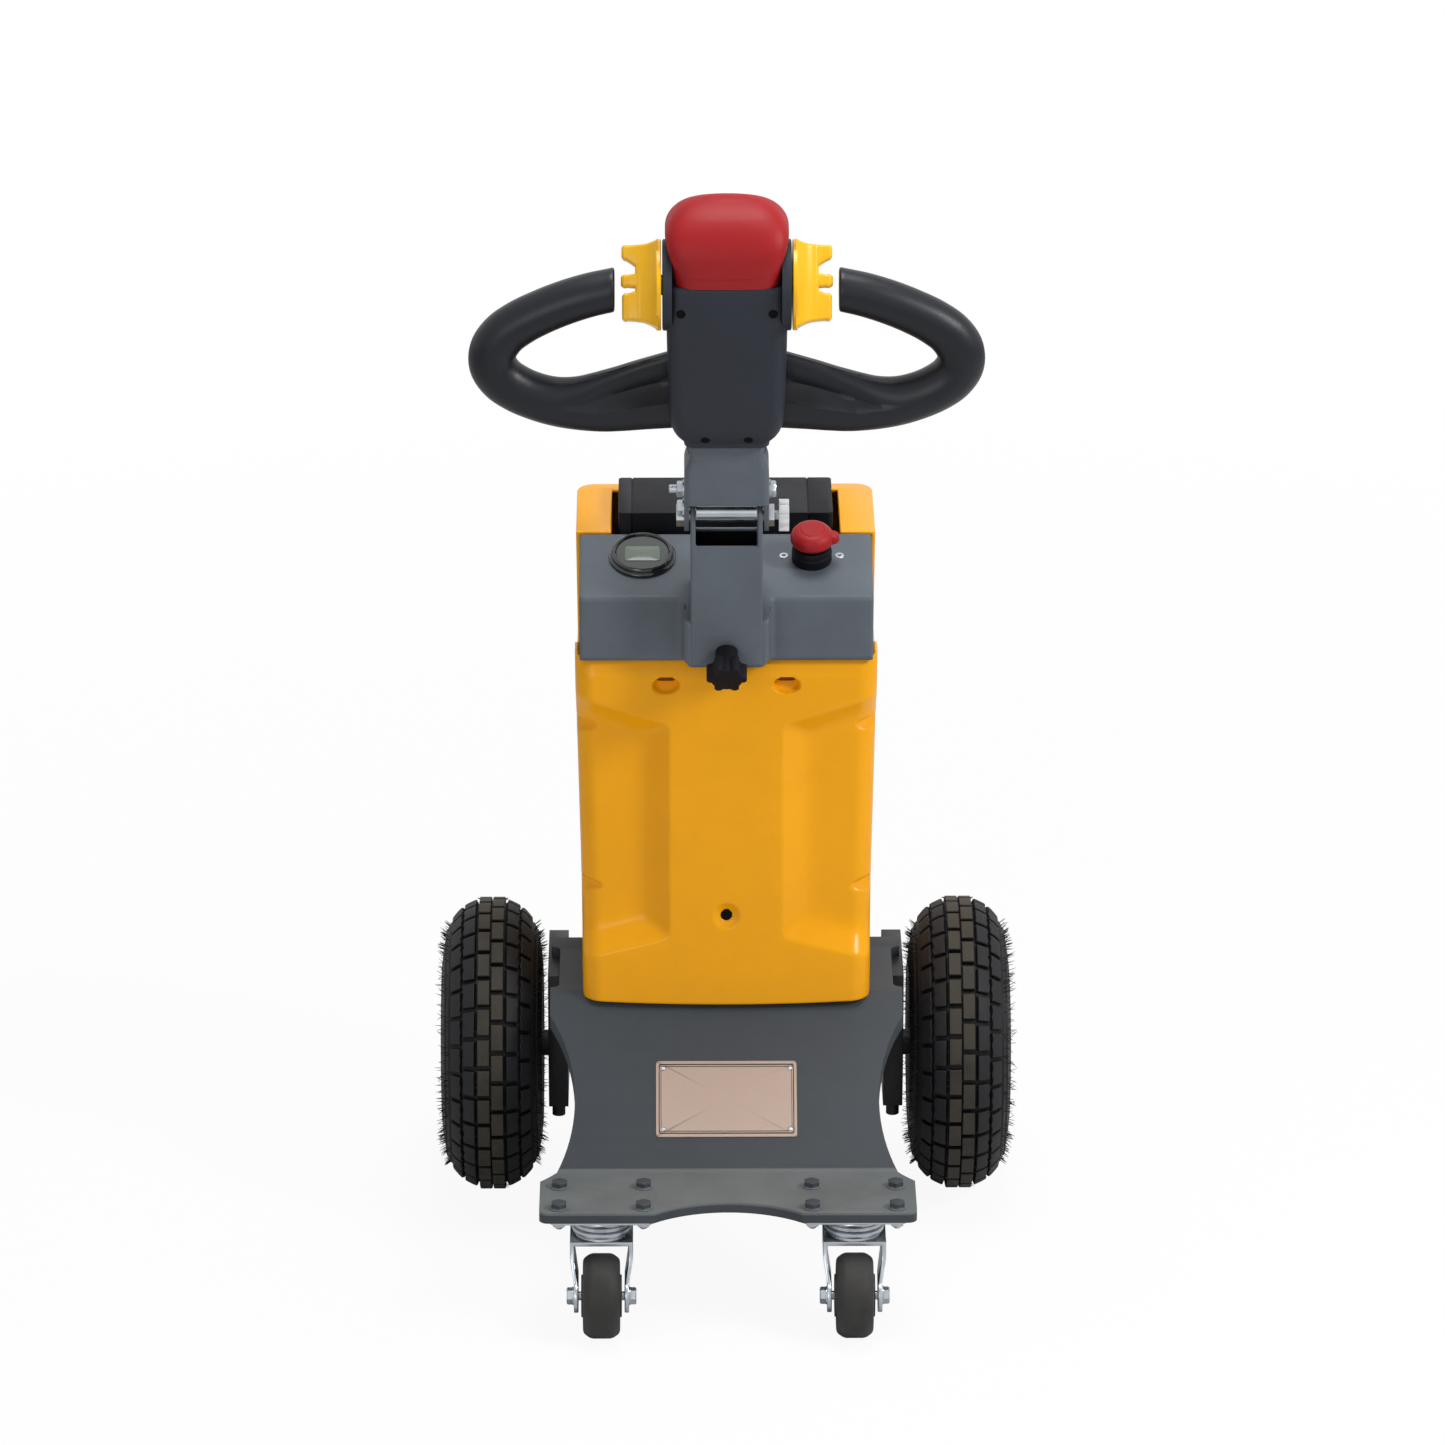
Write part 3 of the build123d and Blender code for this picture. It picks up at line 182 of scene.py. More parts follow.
def grained(paint, base, mottle, grain, rough, bump, gleam=0.26):
    # Fine grain carries bump, a coarse cloud shifts colour and gloss
    cloud = paint.noise(14.0, 5.0, 0.6)
    fine = paint.noise(grain, 3.0, 0.6)
    mixed = paint.span(cloud, 0.3, 0.7) * 0.7 + fine * 0.3
    return paint.set(
        Base_Color=paint.toned(base, mixed, 1 - mottle, 1 + mottle),
        Roughness=paint.span(cloud * 0.5 + fine * 0.5, 0.3, 0.7, *rough),
        Normal=paint.bump(fine, bump),
        Specular_IOR_Level=gleam,
    )


def makeDeckPaint(colour, scuffAndPaintedLight, stripTop, stripBand, finish):
    # The level strip over the casters, within stripBand of the height stripTop, is painted paler: painted top
    # light on its upward face
    paint = Paint("deckPaint")
    height = paint.node("ShaderNodeSeparateXYZ", {}, {"Vector": paint.coords}, "Z")
    above = paint.span(height, stripTop - 2 * stripBand, stripTop - stripBand)
    below = paint.span(height, stripTop + stripBand, stripTop + 2 * stripBand, 1.0, 0.0)
    return grained(paint, paint.blend(above * below, toLinear(*colour), toLinear(*scuffAndPaintedLight)), *finish)


def makeTreadRubber(top, shoulder, groove, wall, rough, bump, gleam):
    # Scuffed brown block tops over grooves painted near black as painted shade, from the height kept in
    # treadTop; the outer blocks are cleaner, from onShoulder; the walls, from onWall, have treadTop 0
    paint = Paint("treadRubber")
    cloud = paint.noise(34.0, 5.0, 0.62)
    fine = paint.noise(700.0, 3.0, 0.6)
    worn = paint.span(cloud * 0.75 + fine * 0.25, 0.22, 0.6, 0.35, 1.0)
    worn = paint.span(paint.attribute("treadTop"), 0.75, 1.0) * worn
    # low in the tread, groove is painted shade, darker than the sidewall rubber
    dark = paint.blend(paint.attribute("onWall"), toLinear(*groove), toLinear(*wall))
    # the block tops' scuffed wear is real colour, not painted light
    scuffAndPaintedLight = paint.blend(paint.attribute("onShoulder"), toLinear(*top), toLinear(*shoulder))
    return paint.set(
        Base_Color=paint.blend(worn, dark, scuffAndPaintedLight),
        Roughness=paint.span(fine * 0.6 + cloud * 0.4, 0.3, 0.7, *rough),
        Normal=paint.bump(fine * 0.7 + cloud * 0.3, bump),
        Specular_IOR_Level=gleam,
    )


def makePlatedSteel(colour, rough, grain, bump):
    # Cloudy gloss with fine drawn scratches
    paint = Paint("zinc")
    cloud = paint.noise(60.0, 4.0, 0.6)
    drawn = paint.noise(grain, 4.0, 0.7, stretch=(1.0, 1.0, 14.0))
    return paint.set(
        Metallic=1.0,
        Base_Color=paint.toned(toLinear(*colour), cloud, 0.8, 1.08),
        Roughness=paint.span(cloud * 0.6 + drawn * 0.4, 0.3, 0.7, *rough),
        Normal=paint.bump(drawn, bump),
    )


paints = {
    name: grained(Paint(name), toLinear(*colour), *facts) for name, (colour, *facts) in finishes.items()
}
paints["deckPaint"] = makeDeckPaint(**deckCoat)
paints["treadRubber"] = makeTreadRubber(**treadRubber)
paints["zinc"] = makePlatedSteel(**platedSteel)
for name, coat in coats.items():
    paints[name].set(**coat)


def slotPaint(slotName):
    # A slot shows the finish of its own name: deck_paint is deckPaint
    first, *rest = slotName.split("_")
    return paints[first + "".join(part.capitalize() for part in rest)]


sides = ((-1, "left"), (1, "right"))
nodeSlot = {entry["node"]: entry["material_slot"] for entry in frame["record"]["subparts"]}
for nodeName, nodeObject in frame["nodes"].items():
    nodeObject.data.materials.clear()
    nodeObject.data.materials.append(slotPaint(nodeSlot[nodeName]).material)
print("finishes made:", len(paints))


# New pieces are grids of points, a face between each point and the next in both ways. closeU and
# closeV join the last row or column to the first.
def gridFaces(points, closeU, closeV):
    rows, columns = points.shape[:2]
    i, j = np.meshgrid(np.arange(rows - (not closeU)), np.arange(columns - (not closeV)), indexing="ij")
    row, nextRow, nextJ = i * columns, (i + 1) % rows * columns, (j + 1) % columns
    return np.stack([row + j, row + nextJ, nextRow + nextJ, nextRow + j], -1).reshape(-1, 4)


def gridMesh(name, grids, smoothAngle=35.0, closeU=False, closeV=True, weld=True, outward=True):
    # weld merges points on one spot, outward turns the faces of a closed shape out
    faces, offset = [], 0
    for points in grids:
        faces.append(gridFaces(points, closeU, closeV) + offset)
        offset += points.shape[0] * points.shape[1]
    vertices = np.concatenate([points.reshape(-1, 3) for points in grids])
    mesh = bpy.data.meshes.new(name)
    mesh.from_pydata(vertices.tolist(), [], np.concatenate(faces).tolist())
    if weld or outward:
        work = bmesh.new()
        work.from_mesh(mesh)
        if weld:
            bmesh.ops.remove_doubles(work, verts=work.verts, dist=0.00001)
        if outward:
            bmesh.ops.recalc_face_normals(work, faces=work.faces)
        work.to_mesh(mesh)
        work.free()
    mesh.polygons.foreach_set("use_smooth", np.ones(len(mesh.polygons), bool))
    mesh.set_sharp_from_angle(angle=math.radians(smoothAngle))
    mesh.update()
    return mesh


def addPiece(name, mesh, body, slotName, node=None, finish=None):
    piece = bpy.data.objects.new(name, mesh)
    bpy.context.scene.collection.objects.link(piece)
    mesh.materials.clear()
    mesh.materials.append((paints[finish] if finish else slotPaint(slotName)).material)
    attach(piece, body)
    if node is not None:
        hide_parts(node)
    return piece


def addGrids(name, grids, body, slotName, node=None, finish=None, **options):
    return addPiece(name, gridMesh(name, grids, **options), body, slotName, node, finish)


def thicken(piece, wall):
    # A sheet's thickness in mm, grown inwards
    thick = piece.modifiers.new("wall", "SOLIDIFY")
    thick.thickness = wall / 1000
    thick.offset = -1.0


def roundEdges(piece, width, segments, angle):
    rounding = piece.modifiers.new("roundedEdges", "BEVEL")
    rounding.width = width / 1000
    rounding.segments = segments
    rounding.limit_method = "ANGLE"
    rounding.angle_limit = math.radians(angle)
    return rounding


# Drive tyres: a round section with three rows of blocks each side of the middle
treadTyre = dict(
    wheelX=0.215, axleY=0.098, axleZ=0.135,
    shoulderFrom=0.0115, wallFrom=0.037, toneRun=0.003,
    pitches=30, crownRadius=0.045, outerRadius=0.135, leftPhase=0.5, wallPhase=0.3,
    # mm in from a block's edge and the share of its height there, extra depth between two rows
    edge=((-0.25, 0.0), (0.15, 0.86), (0.75, 1.0)), between=0.25,
    # inner and outer edge along the crown, groove depth, phase in pitches, zigzag of both edges, mm
    rows=(
        (0.55, 12, 4.6, 0, 0, 0),
        (15, 27.2, 4.2, 0.05, 0, 1.5),
        (30.2, 43.6, 3.6, 0.30, 1.5, 0),
    ),
    # half width and radius of the sidewall down to the bead and the seat on the rim
    sidewall=(
        (38.6, 111), (40.4, 107.5), (41.2, 105.4), (42.5, 104.8), (42.8, 103.4), (42.3, 102.4),
        (43.2, 98), (44.2, 93.2), (45.2, 87.5), (45.8, 82), (46, 77.6), (46.4, 77.2),
        (46.3, 75.8), (45.6, 75.2), (45, 70.5), (42.6, 65.4), (38.4, 61.9), (34.2, 60.6),
        (31, 58), (30.5, 51.6),
    ),
    # lines round one pitch: place in the pitch, and how far the block is up there
    around=(
        (0, 0), (0.065, 0), (0.080, 0.86), (0.105, 1), (0.30, 1), (0.50, 1), (0.70, 1),
        (0.895, 1), (0.920, 0.86), (0.935, 0),
    ),
)
hairs = dict(
    seed=7, perRing=150, rings=((109.0, 39.6), (100.5, 42.6), (90.0, 44.9)), kept=0.8, scatter=0.0012,
    edgeCount=40, edgeRadius=0.1335, edgeHalf=0.0118, edgeShare=0.45, treadFrom=0.13,
    length=(0.0045, 0.0075), least=0.002, thick=0.00042, taper=(1.0, 0.85, 0.65, 0.35), sunk=0.001,
    # how far they lean out radially: on the tread, and on the wall growing with the radius
    treadLift=0.15, liftFrom=0.08, liftRun=0.03, lifts=(0.05, 0.8), spread=0.35, curl=0.3, reach=0.0515,
)


def treadLines(rows, edge, between, crownRadius, outerRadius):
    # One half of the section: for each line its top and floor (half width, radius), its phase,
    # its zigzag and whether it is raised. The crown is an arc, flat over the middle row.
    def onCrown(u, depth):
        angle = u / (crownRadius * 1000)
        top = np.array((crownRadius * np.sin(angle), outerRadius - crownRadius * (1 - np.cos(angle))))
        return top, top - np.array((np.sin(angle), np.cos(angle))) * depth / 1000

    lines = []
    for number, (inner, outer, depth, phase, zigIn, zigOut) in enumerate(rows):
        steps = [(inner + into, raised, zigIn) for into, raised in edge]
        steps += [((2 * inner + outer) / 3, 1.0, zigIn / 2), ((inner + 2 * outer) / 3, 1.0, zigOut / 2)]
        steps += [(outer - into, raised, zigOut) for into, raised in edge[::-1]]
        for u, raised, zig in steps:
            top, floor = onCrown(u, depth)
            if number == 0:
                top = np.array((u / 1000, outerRadius))
            lines.append((top, floor, phase, zig / 1000, raised))
        if number < len(rows) - 1:
            nextInner, _, _, nextPhase, nextZig, _ = rows[number + 1]
            top, floor = onCrown((outer + nextInner) / 2, depth + between)
            lines.append((top, floor, (phase + nextPhase) / 2, (zigOut + nextZig) / 2000, 0.0))
    return lines


def tyreSurface(centreX, axleY, axleZ, pitches, leftPhase, wallPhase, sidewall, around, **tread):
    walls = [np.array(point) / 1000 for point in sidewall]
    right = treadLines(**tread) + [(p, p, wallPhase, 0.0, 0.0) for p in walls]
    flip = np.array((-1.0, 1.0))
    left = [(t * flip, f * flip, phase + leftPhase, z, r) for t, f, phase, z, r in right]
    top, floor, phase, zig, raised = (np.array(part) for part in zip(*(left[::-1] + right)))
    place, up = np.array(around).T
    turn = (np.arange(pitches)[:, None] + place).ravel()
    # height above the groove floor is the lower of the two edge profiles
    height = np.minimum(np.tile(up, pitches)[:, None], raised)
    angle = (turn[:, None] + phase) * 2 * np.pi / pitches
    tooth = np.abs(((2 * turn + 0.5) % 1.0) - 0.5) * 2 - 0.5
    halfWidth = floor[:, 0] + height * (top - floor)[:, 0] + zig * tooth[:, None] * np.sign(top[:, 0])
    radius = floor[:, 1] + height * (top - floor)[:, 1]
    points = [centreX + halfWidth, axleY - radius * np.sin(angle), axleZ + radius * np.cos(angle)]
    return np.stack(points, -1), height


def hairMesh(name, centre, seed, perRing, rings, kept, scatter, edgeCount, edgeRadius, edgeHalf,
             edgeShare, treadFrom, length, least, thick, taper, sunk, treadLift, liftFrom, liftRun,
             lifts, spread, curl, reach):
    # Each hair is a thin three-sided cone: root + along * s + bend * s squared
    rng = np.random.default_rng(seed)
    radius, halfWidth, outward = [], [], []
    for side in (-1, 1):
        for ringRadius, ringHalf in rings:
            count = (rng.random(perRing) < kept).sum()
            radius.append(ringRadius / 1000 + rng.normal(0, scatter, count))
            halfWidth.append(np.full(count, ringHalf / 1000))
            outward.append(np.full(count, side))
        radius.append(np.full(edgeCount, edgeRadius))
        halfWidth.append(np.full(edgeCount, edgeHalf))
        outward.append(np.full(edgeCount, side))
    radius, halfWidth, outward = map(np.concatenate, (radius, halfWidth, outward))
    count = len(radius)
    angle = rng.random(count) * 2 * np.pi
    zero = np.zeros(count)
    radial = np.stack([zero, -np.sin(angle), np.cos(angle)], -1)
    around = np.stack([zero, -np.cos(angle), -np.sin(angle)], -1)
    sideways = np.stack([outward, zero, zero], -1)
    onTread = radius > treadFrom
    lift = np.where(onTread, treadLift, np.clip((radius - liftFrom) / liftRun, *lifts))[:, None]
    along = sideways + radial * lift + around * rng.normal(0, spread, count)[:, None]
    along = along / np.linalg.norm(along, axis=1, keepdims=True)
    size = rng.uniform(*length, count) * np.where(onTread, edgeShare, 1)
    # none stands out past reach
    room = (reach - halfWidth) / np.maximum(np.abs(along[:, 0]), 0.2)
    size = np.minimum(size, np.maximum(room, least))[:, None]
    bend = around * rng.normal(0, curl, count)[:, None] * size
    root = radial * radius[:, None] + sideways * halfWidth[:, None] - along * sunk
    s = np.array((0.0, 0.4, 0.75, 1.0))[None, :, None]
    middle = root[:, None] + along[:, None] * (size[:, None] + sunk) * s + bend[:, None] * s ** 2
    first = np.cross(along, radial + 0.01)
    first = first / np.linalg.norm(first, axis=1, keepdims=True)
    turn = (np.arange(3) * 2 * np.pi / 3)[None, :, None]
    ring = first[:, None] * np.cos(turn) + np.cross(along, first)[:, None] * np.sin(turn)
    width = thick * np.array(taper)[:, None, None]
    points = (middle[:, :, None] + ring[:, None] * width).reshape(-1, 3) + np.array(centre)
    start = np.arange(count)[:, None] * 12
    level, corner = np.meshgrid(np.arange(3) * 3, np.arange(3), indexing="ij")
    following = (corner + 1) % 3
    quad = np.stack([level + corner, level + following, level + 3 + following, level + 3 + corner], -1)
    quads = (start[:, :, None] + quad.reshape(1, 9, 4)).reshape(-1, 4).tolist()
    caps, feet = (start + np.array((9, 10, 11))).tolist(), (start + np.array((2, 1, 0))).tolist()
    mesh = bpy.data.meshes.new(name)
    mesh.from_pydata(points.tolist(), [], quads + caps + feet)
    mesh.update()
    return mesh


def makeTyres(wheelX, axleY, axleZ, shoulderFrom, wallFrom, toneRun, **shape):
    for side, name in sides:
        centre = (side * wheelX, axleY, axleZ)
        points, height = tyreSurface(*centre, **shape)
        piece = addGrids(
            f"treadTyre_{name}", [points], f"wheel_{name}", "drive_tyre", f"tyre_{name}", "treadRubber",
            smoothAngle=32.0, closeU=True, weld=False, outward=False,
        )
        away = np.abs(points[:, :, 0] - centre[0])
        for label, values in (
            ("treadTop", height),
            ("onShoulder", np.clip((away - shoulderFrom) / toneRun, 0, 1)),
            ("onWall", np.clip((away - wallFrom) / toneRun, 0, 1)),
        ):
            tone = piece.data.attributes.new(label, "FLOAT", "POINT")
            tone.data.foreach_set("value", values.astype(np.float32).ravel())
        mesh = hairMesh(f"tyreHairs_{name}", centre, **hairs)
        addPiece(f"tyreHairs_{name}", mesh, f"wheel_{name}", "drive_tyre", finish="hairRubber")


makeTyres(**treadTyre)
print("tyres made")


# Fasteners: one profile turned about an axis. A hexagon's radius at an angle is its flat's
# distance over the cosine of the angle from the flat's middle.
def turned(profile, place, axis, sides=0, around=36):
    # profile: radius and height along the axis in mm, then the share of hexagon if it has any
    radius, height, share = np.array([(*point, 0)[:3] for point in profile], float).T[..., None]
    angle = np.arange(around) * 2 * np.pi / around
    hexagon = np.ones(around)
    if sides:
        step = 2 * np.pi / sides
        hexagon = 1 / np.cos((angle % step) - step / 2)
    axis = np.array(axis, float) / np.linalg.norm(axis)
    first = np.cross((0.0, 0.0, 1.0) if abs(axis[2]) < 0.9 else (1.0, 0.0, 0.0), axis)
    first = first / np.linalg.norm(first)
    outward = np.cos(angle)[:, None] * first + np.sin(angle)[:, None] * np.cross(axis, first)
    reach = radius * (1 + (hexagon - 1) * share)
    return place + (reach[..., None] * outward + height[..., None] * axis) / 1000


hexHead = ((0, 0), (6.5, 0, 1), (6.5, 4.2, 1), (6.1, 4.9, 0.5), (5.4, 5.2), (0, 5.2))
washer = ((0, 0), (8.2, 0), (8.2, 0.9), (7.6, 1.3), (0, 1.3))
smallDome = (
    (0, 0), (5.4, 0, 1), (5.4, 3.4, 1), (4.9, 4, 0.3), (3.9, 4.2), (3.5, 5.4), (2.2, 6.4), (0, 6.7),
)
stripBolts = dict(casterX=0.1125, casterY=-0.228, apartX=0.075, apartY=0.0475, top=0.119, under=0.106)
hitchBolts = dict(flangeY=0.2412, railBack=0.2248, middle=0.170, apartX=0.080, apartZ=0.040)
washerTop = 0.0013


def fourRound(x, y, apartX, apartY):
    return [(x + i * apartX / 2, y + j * apartY / 2) for i in (-1, 1) for j in (-1, 1)]


def makeStripBolts(casterX, casterY, apartX, apartY, top, under):
    # Painted heads above the plate and plated nuts under the caster's own plate
    heads, nuts = [], []
    for side in (-1, 1):
        for x, y in fourRound(side * casterX, casterY, apartX, apartY):
            heads.append(turned(washer, (x, y, top), (0, 0, 1)))
            heads.append(turned(hexHead, (x, y, top + washerTop), (0, 0, 1), sides=6))
            nuts.append(turned(smallDome, (x, y, under), (0, 0, -1), sides=6))
    addGrids("stripBolts", heads, "chassis", "deck_paint")
    addGrids("casterPlateNuts", nuts, "chassis", "zinc")


def makeHitchBolts(flangeY, railBack, middle, apartX, apartZ):
    # Bolts through the jaw's flange, nuts behind the rail
    grids = []
    for x, z in fourRound(0, middle, apartX, apartZ):
        grids.append(turned(washer, (x, flangeY, z), (0, 1, 0)))
        grids.append(turned(hexHead, (x, flangeY + washerTop, z), (0, 1, 0), sides=6))
        grids.append(turned(smallDome, (x, railBack, z), (0, -1, 0), sides=6))
    addGrids("hitchBolts", grids, "chassis", "zinc")


makeStripBolts(**stripBolts)
print("strip bolts made")


# Curves and sections shared by the moulded pieces
def through(knots, values, at):
    # Smooth curve through the knots: cubic pieces whose slopes come from the neighbours
    knots, values = np.array(knots, float), np.array(values, float)
    slope = np.gradient(values, knots)
    i = np.clip(np.searchsorted(knots, at) - 1, 0, len(knots) - 2)
    span = knots[i + 1] - knots[i]
    s = np.clip((at - knots[i]) / span, 0, 1)
    return (
        values[i] * (1 + 2 * s) * (1 - s) ** 2 + values[i + 1] * s ** 2 * (3 - 2 * s)
        + slope[i] * span * s * (1 - s) ** 2 - slope[i + 1] * span * s ** 2 * (1 - s)
    )


def roundedLoop(half, front, back, corner, perCorner):
    # A rounded rectangle per level, walked corner by corner: corner middle + radius * (cos, sin)
    quarter = np.arange(4)[:, None] * np.pi / 2 + np.linspace(0, np.pi / 2, perCorner)
    cosine, sine = np.cos(quarter).ravel(), np.sin(quarter).ravel()
    signX = np.repeat((1, -1, -1, 1), perCorner)
    toFront = np.repeat((1, 1, 0, 0), perCorner)
    half, front, back, corner = (np.array(v, float)[:, None] for v in (half, front, back, corner))
    x = signX * (half - corner) + corner * cosine
    return x, np.where(toFront, front - corner, corner - back) + corner * sine


def squarish(value, power):
    # A circle's cosine or sine for a squarish oval: raised to 2 over the power, sign kept
    return np.sign(value) * np.abs(value) ** (2 / power)


def superLoop(half, front, back, power, count):
    # A squarish oval per level
    angle = (np.arange(count) + 0.5) * 2 * np.pi / count
    half, front, back, power = (np.array(v, float)[:, None] for v in (half, front, back, power))
    x = half * squarish(np.cos(angle), power)
    return x, (front - back) / 2 + (front + back) / 2 * squarish(np.sin(angle), power)


def poled(loops):
    # A pole of zeros before the first row of points and after the last
    return np.concatenate([loops[:1] * 0, loops, loops[:1] * 0])


def endsTwice(levels):
    # The rows' levels with the first and the last given twice, for the poles
    return np.concatenate([levels[:1], levels, levels[-1:]])[:, None]


# Tiller frame: mm from the hinge, x across, up along the lean, toward the operator
tillerFrame = dict(hingeY=-32.0, hingeZ=693.0, lean=8.0, headStart=80.0)
lean = math.radians(tillerFrame["lean"])


def onTiller(x, up, toward):
    x, up, toward = np.broadcast_arrays(x, up, toward)
    y = tillerFrame["hingeY"] - up * math.sin(lean) - toward * math.cos(lean)
    return np.stack([x, y, tillerFrame["hingeZ"] + up * math.cos(lean) - toward * math.sin(lean)], -1) / 1000


# Belly button: an oval dome over a band that is turned in below a crease
bellyButton = dict(
    base=239.6, creaseLow=11.5, creaseRise=13.0, top=309.5, poleToward=-4.0, bandTuck=0.93, bandFull=0.985,
    # heights of the band's rows, as shares of the way from the base to the crease
    band=(0, 0.25, 0.6, 0.88, 0.93, 0.985),
    # height, half width, front, back, squareness
    levels=(
        (252, 50, 45, 28, 5.2), (262, 52.6, 45.8, 29, 4.6), (271, 54, 44.6, 29.2, 4.1),
        (279, 53.7, 41.8, 29, 3.7), (287, 51.2, 37.2, 27.8, 3.4), (294, 47, 31, 25.4, 3.1),
        (300, 41, 23.4, 21.6, 2.9), (304.5, 33, 15, 16.8, 2.7), (307.6, 22.5, 6, 11.6, 2.4),
        (309.1, 11, 0, 7.4, 2.1), (309.5, 0, -4, 4, 2),
    ),
)


def makeBellyButton(base, creaseLow, creaseRise, top, poleToward, bandTuck, bandFull, band, levels):
    knots = np.array(levels)
    share = np.sin(np.linspace(0, 1, 45) ** 0.8 * np.pi / 2)
    at = knots[0, 0] + share * (top - knots[0, 0])
    half, front, back, power = (through(knots[:, 0], knots[:, k], at) for k in (1, 2, 3, 4))
    half[-1], front[-1], back[-1] = 0.0, poleToward, -poleToward
    x, toward = superLoop(half, front, back, power, 96)
    crease = base + creaseLow + creaseRise * (np.abs(x[0]) / half[0]) ** 4
    up = crease + share[:, None] * (top - crease)
    # band below the crease: the first section drawn in towards the base
    s = np.array(band)[:, None]
    tuck = bandTuck + (bandFull - bandTuck) * s / band[-2]
    tuck[-1] = 1.0
    grid = onTiller(
        np.concatenate([x[:1] * 0, x[0] * tuck, x]),
        np.concatenate([x[:1] * 0 + base, base + s * (crease - base), up]),
        np.concatenate([x[:1] * 0, toward[0] * tuck, toward]),
    )
    addGrids("bellyDome", [grid], "tiller", "red_plastic", "belly_button", smoothAngle=24.0)


# Head: rounded sections from the collar up, cheeks and the thumb wheels' axle
headShell = dict(
    # height, half width, front, back, corner radius
    levels=(
        (80, 36.2, 28.6, 18, 8), (80.8, 37.4, 29.8, 19, 9), (85, 38.2, 30.6, 20, 9.5),
        (87.5, 40.6, 32.6, 21, 10.5), (91, 43.6, 35, 22.4, 11.5), (96, 46.6, 37.2, 23.8, 12.5),
        (102, 49, 38.9, 24.8, 13), (112, 50.4, 40, 25.4, 13), (140, 51.5, 41.1, 25.8, 13),
        (180, 52.5, 41.8, 26, 12.5), (210, 53, 42, 26, 12), (236, 53, 42, 26, 12),
        (239, 52.5, 41.4, 25.4, 11.5), (240.4, 50.8, 39.8, 23.8, 10.5),
    ),
    pivot=(0, 229, 8),
    cheek=((0, 48), (40, 48), (40, 55.4), (39.3, 56.2), (38, 56.5), (0, 56.5)),
    # x, up, toward, tip of the axis in radians
    pockets=(
        (-40.2, 216.5, 41.9, 0), (40.2, 216.5, 41.9, 0),
        (-19, 90.5, 34.6, 0.62), (19, 90.5, 34.6, 0.62),
    ),
    pocket=((0, -1.5), (4.2, -1.5), (4.2, 0.1), (3.9, 0.3), (3.6, 0.22), (3.3, 0.16), (0, 0.16)),
)


def makeHead(levels, pivot, cheek, pockets, pocket):
    knots = np.array(levels)
    between = np.arange((len(knots) - 1) * 3 + 1) / 3
    half, front, back, corner, at = (
        np.interp(between, np.arange(len(knots)), knots[:, k]) for k in (1, 2, 3, 4, 0)
    )
    x, toward = roundedLoop(half, front, back, corner, 10)
    grids = [onTiller(poled(x), endsTwice(at), poled(toward))]
    grids += [turned(cheek, onTiller(*pivot), (side, 0, 0), around=96) for side in (-1, 1)]
    addGrids("headMoulding", grids, "tiller", "head_plastic", "tiller_head", smoothAngle=28.0)
    # the screw pockets are near-black discs: painted shade in the screw holes
    cups = [
        turned(pocket, onTiller(*spot), (0, -math.cos(lean + tip), -math.sin(lean + tip)), around=28)
        for *spot, tip in pockets
    ]
    addGrids("headScrewPockets", cups, "tiller", "head_plastic", finish="holeBlack")


# Thumb wheels: rounded sections carried outwards along x. The body flares to its round plate,
# and three fingers leave it.
thumbWheel = dict(
    pivot=(0.0, 229.0, 8.0), rise=20.0,
    plate=((0, 57.5), (39, 57.5), (40, 58.2), (40, 61), (39.2, 62), (0, 62)),
    axle=((0, 50), (9, 50), (9, 58), (0, 58)),
    # x, low edge, high edge, half depth
    bars=(
        (
            (60, -38.9, 39.2, 29), (63, -37, 37.6, 25.5), (66.5, -35.2, 36.3, 21.5),
            (70.5, -33.6, 35.2, 18.3), (75, -32.4, 34.6, 16.2), (78.6, -31.9, 34.3, 15.2),
            (80.2, -30.6, 33.2, 14),
        ),
        (
            (74, 12.5, 34.6, 16.4), (79, 15, 34.3, 15.2), (84, 18.6, 34.1, 14.4),
            (88, 21, 34, 14), (90.8, 22.3, 33.7, 13.4), (92, 24.2, 32, 11.8),
        ),
        (
            (74, -3.2, 9.4, 16.4), (80, -2.7, 9.2, 15), (86, -2.3, 8.3, 14.2),
            (91.2, -1.9, 7.8, 13.4), (92.6, -0.6, 6.5, 12),
        ),
        (
            (74, -32.6, -4.8, 16.4), (80, -31.9, -6, 15), (86, -31.5, -8, 14.2),
            (90.4, -31.2, -8.8, 13.6), (91.6, -29.6, -10.2, 12),
        ),
    ),
    corner=2.6, tipStart=0.55, tipRun=2.2, tipThin=0.06,
)


def makeThumbWheels(pivot, rise, plate, axle, bars, corner, tipStart, tipRun, tipThin):
    pivot = onTiller(*pivot)
    c, s = math.cos(math.radians(rise)), math.sin(math.radians(rise))
    for side, name in sides:
        grids = [turned(plate, pivot, (side, 0, 0), around=96), turned(axle, pivot, (side, 0, 0), around=48)]
        for stations in bars:
            knots = np.array(stations)
            at = np.linspace(knots[0, 0], knots[-1, 0], 22)
            low, high, deep = (through(knots[:, 0], knots[:, k], at) for k in (1, 2, 3))
            # the last tipRun mm close in to a blunt tip
            ease = np.minimum(1, tipStart + np.abs(at - at[-1]) / tipRun)
            high, deep = high - (1 - ease), deep * (1 - tipThin + tipThin * ease)
            half = (high - low) / 2
            p, depth = roundedLoop(half, deep, deep, np.minimum(corner, half * 0.9), 6)
            p, depth = poled(p) + endsTwice((high + low) / 2), poled(depth)
            away = np.stack([endsTwice(at) * side + p * 0, p * s - depth * c, p * c + depth * s], -1)
            grids.append(away / 1000 + pivot * (0, 1, 1))
        node = f"butterfly_{name}"
        addGrids(f"thumbPaddle_{name}", grids, "tiller", "thumb_plastic", node, smoothAngle=34.0)


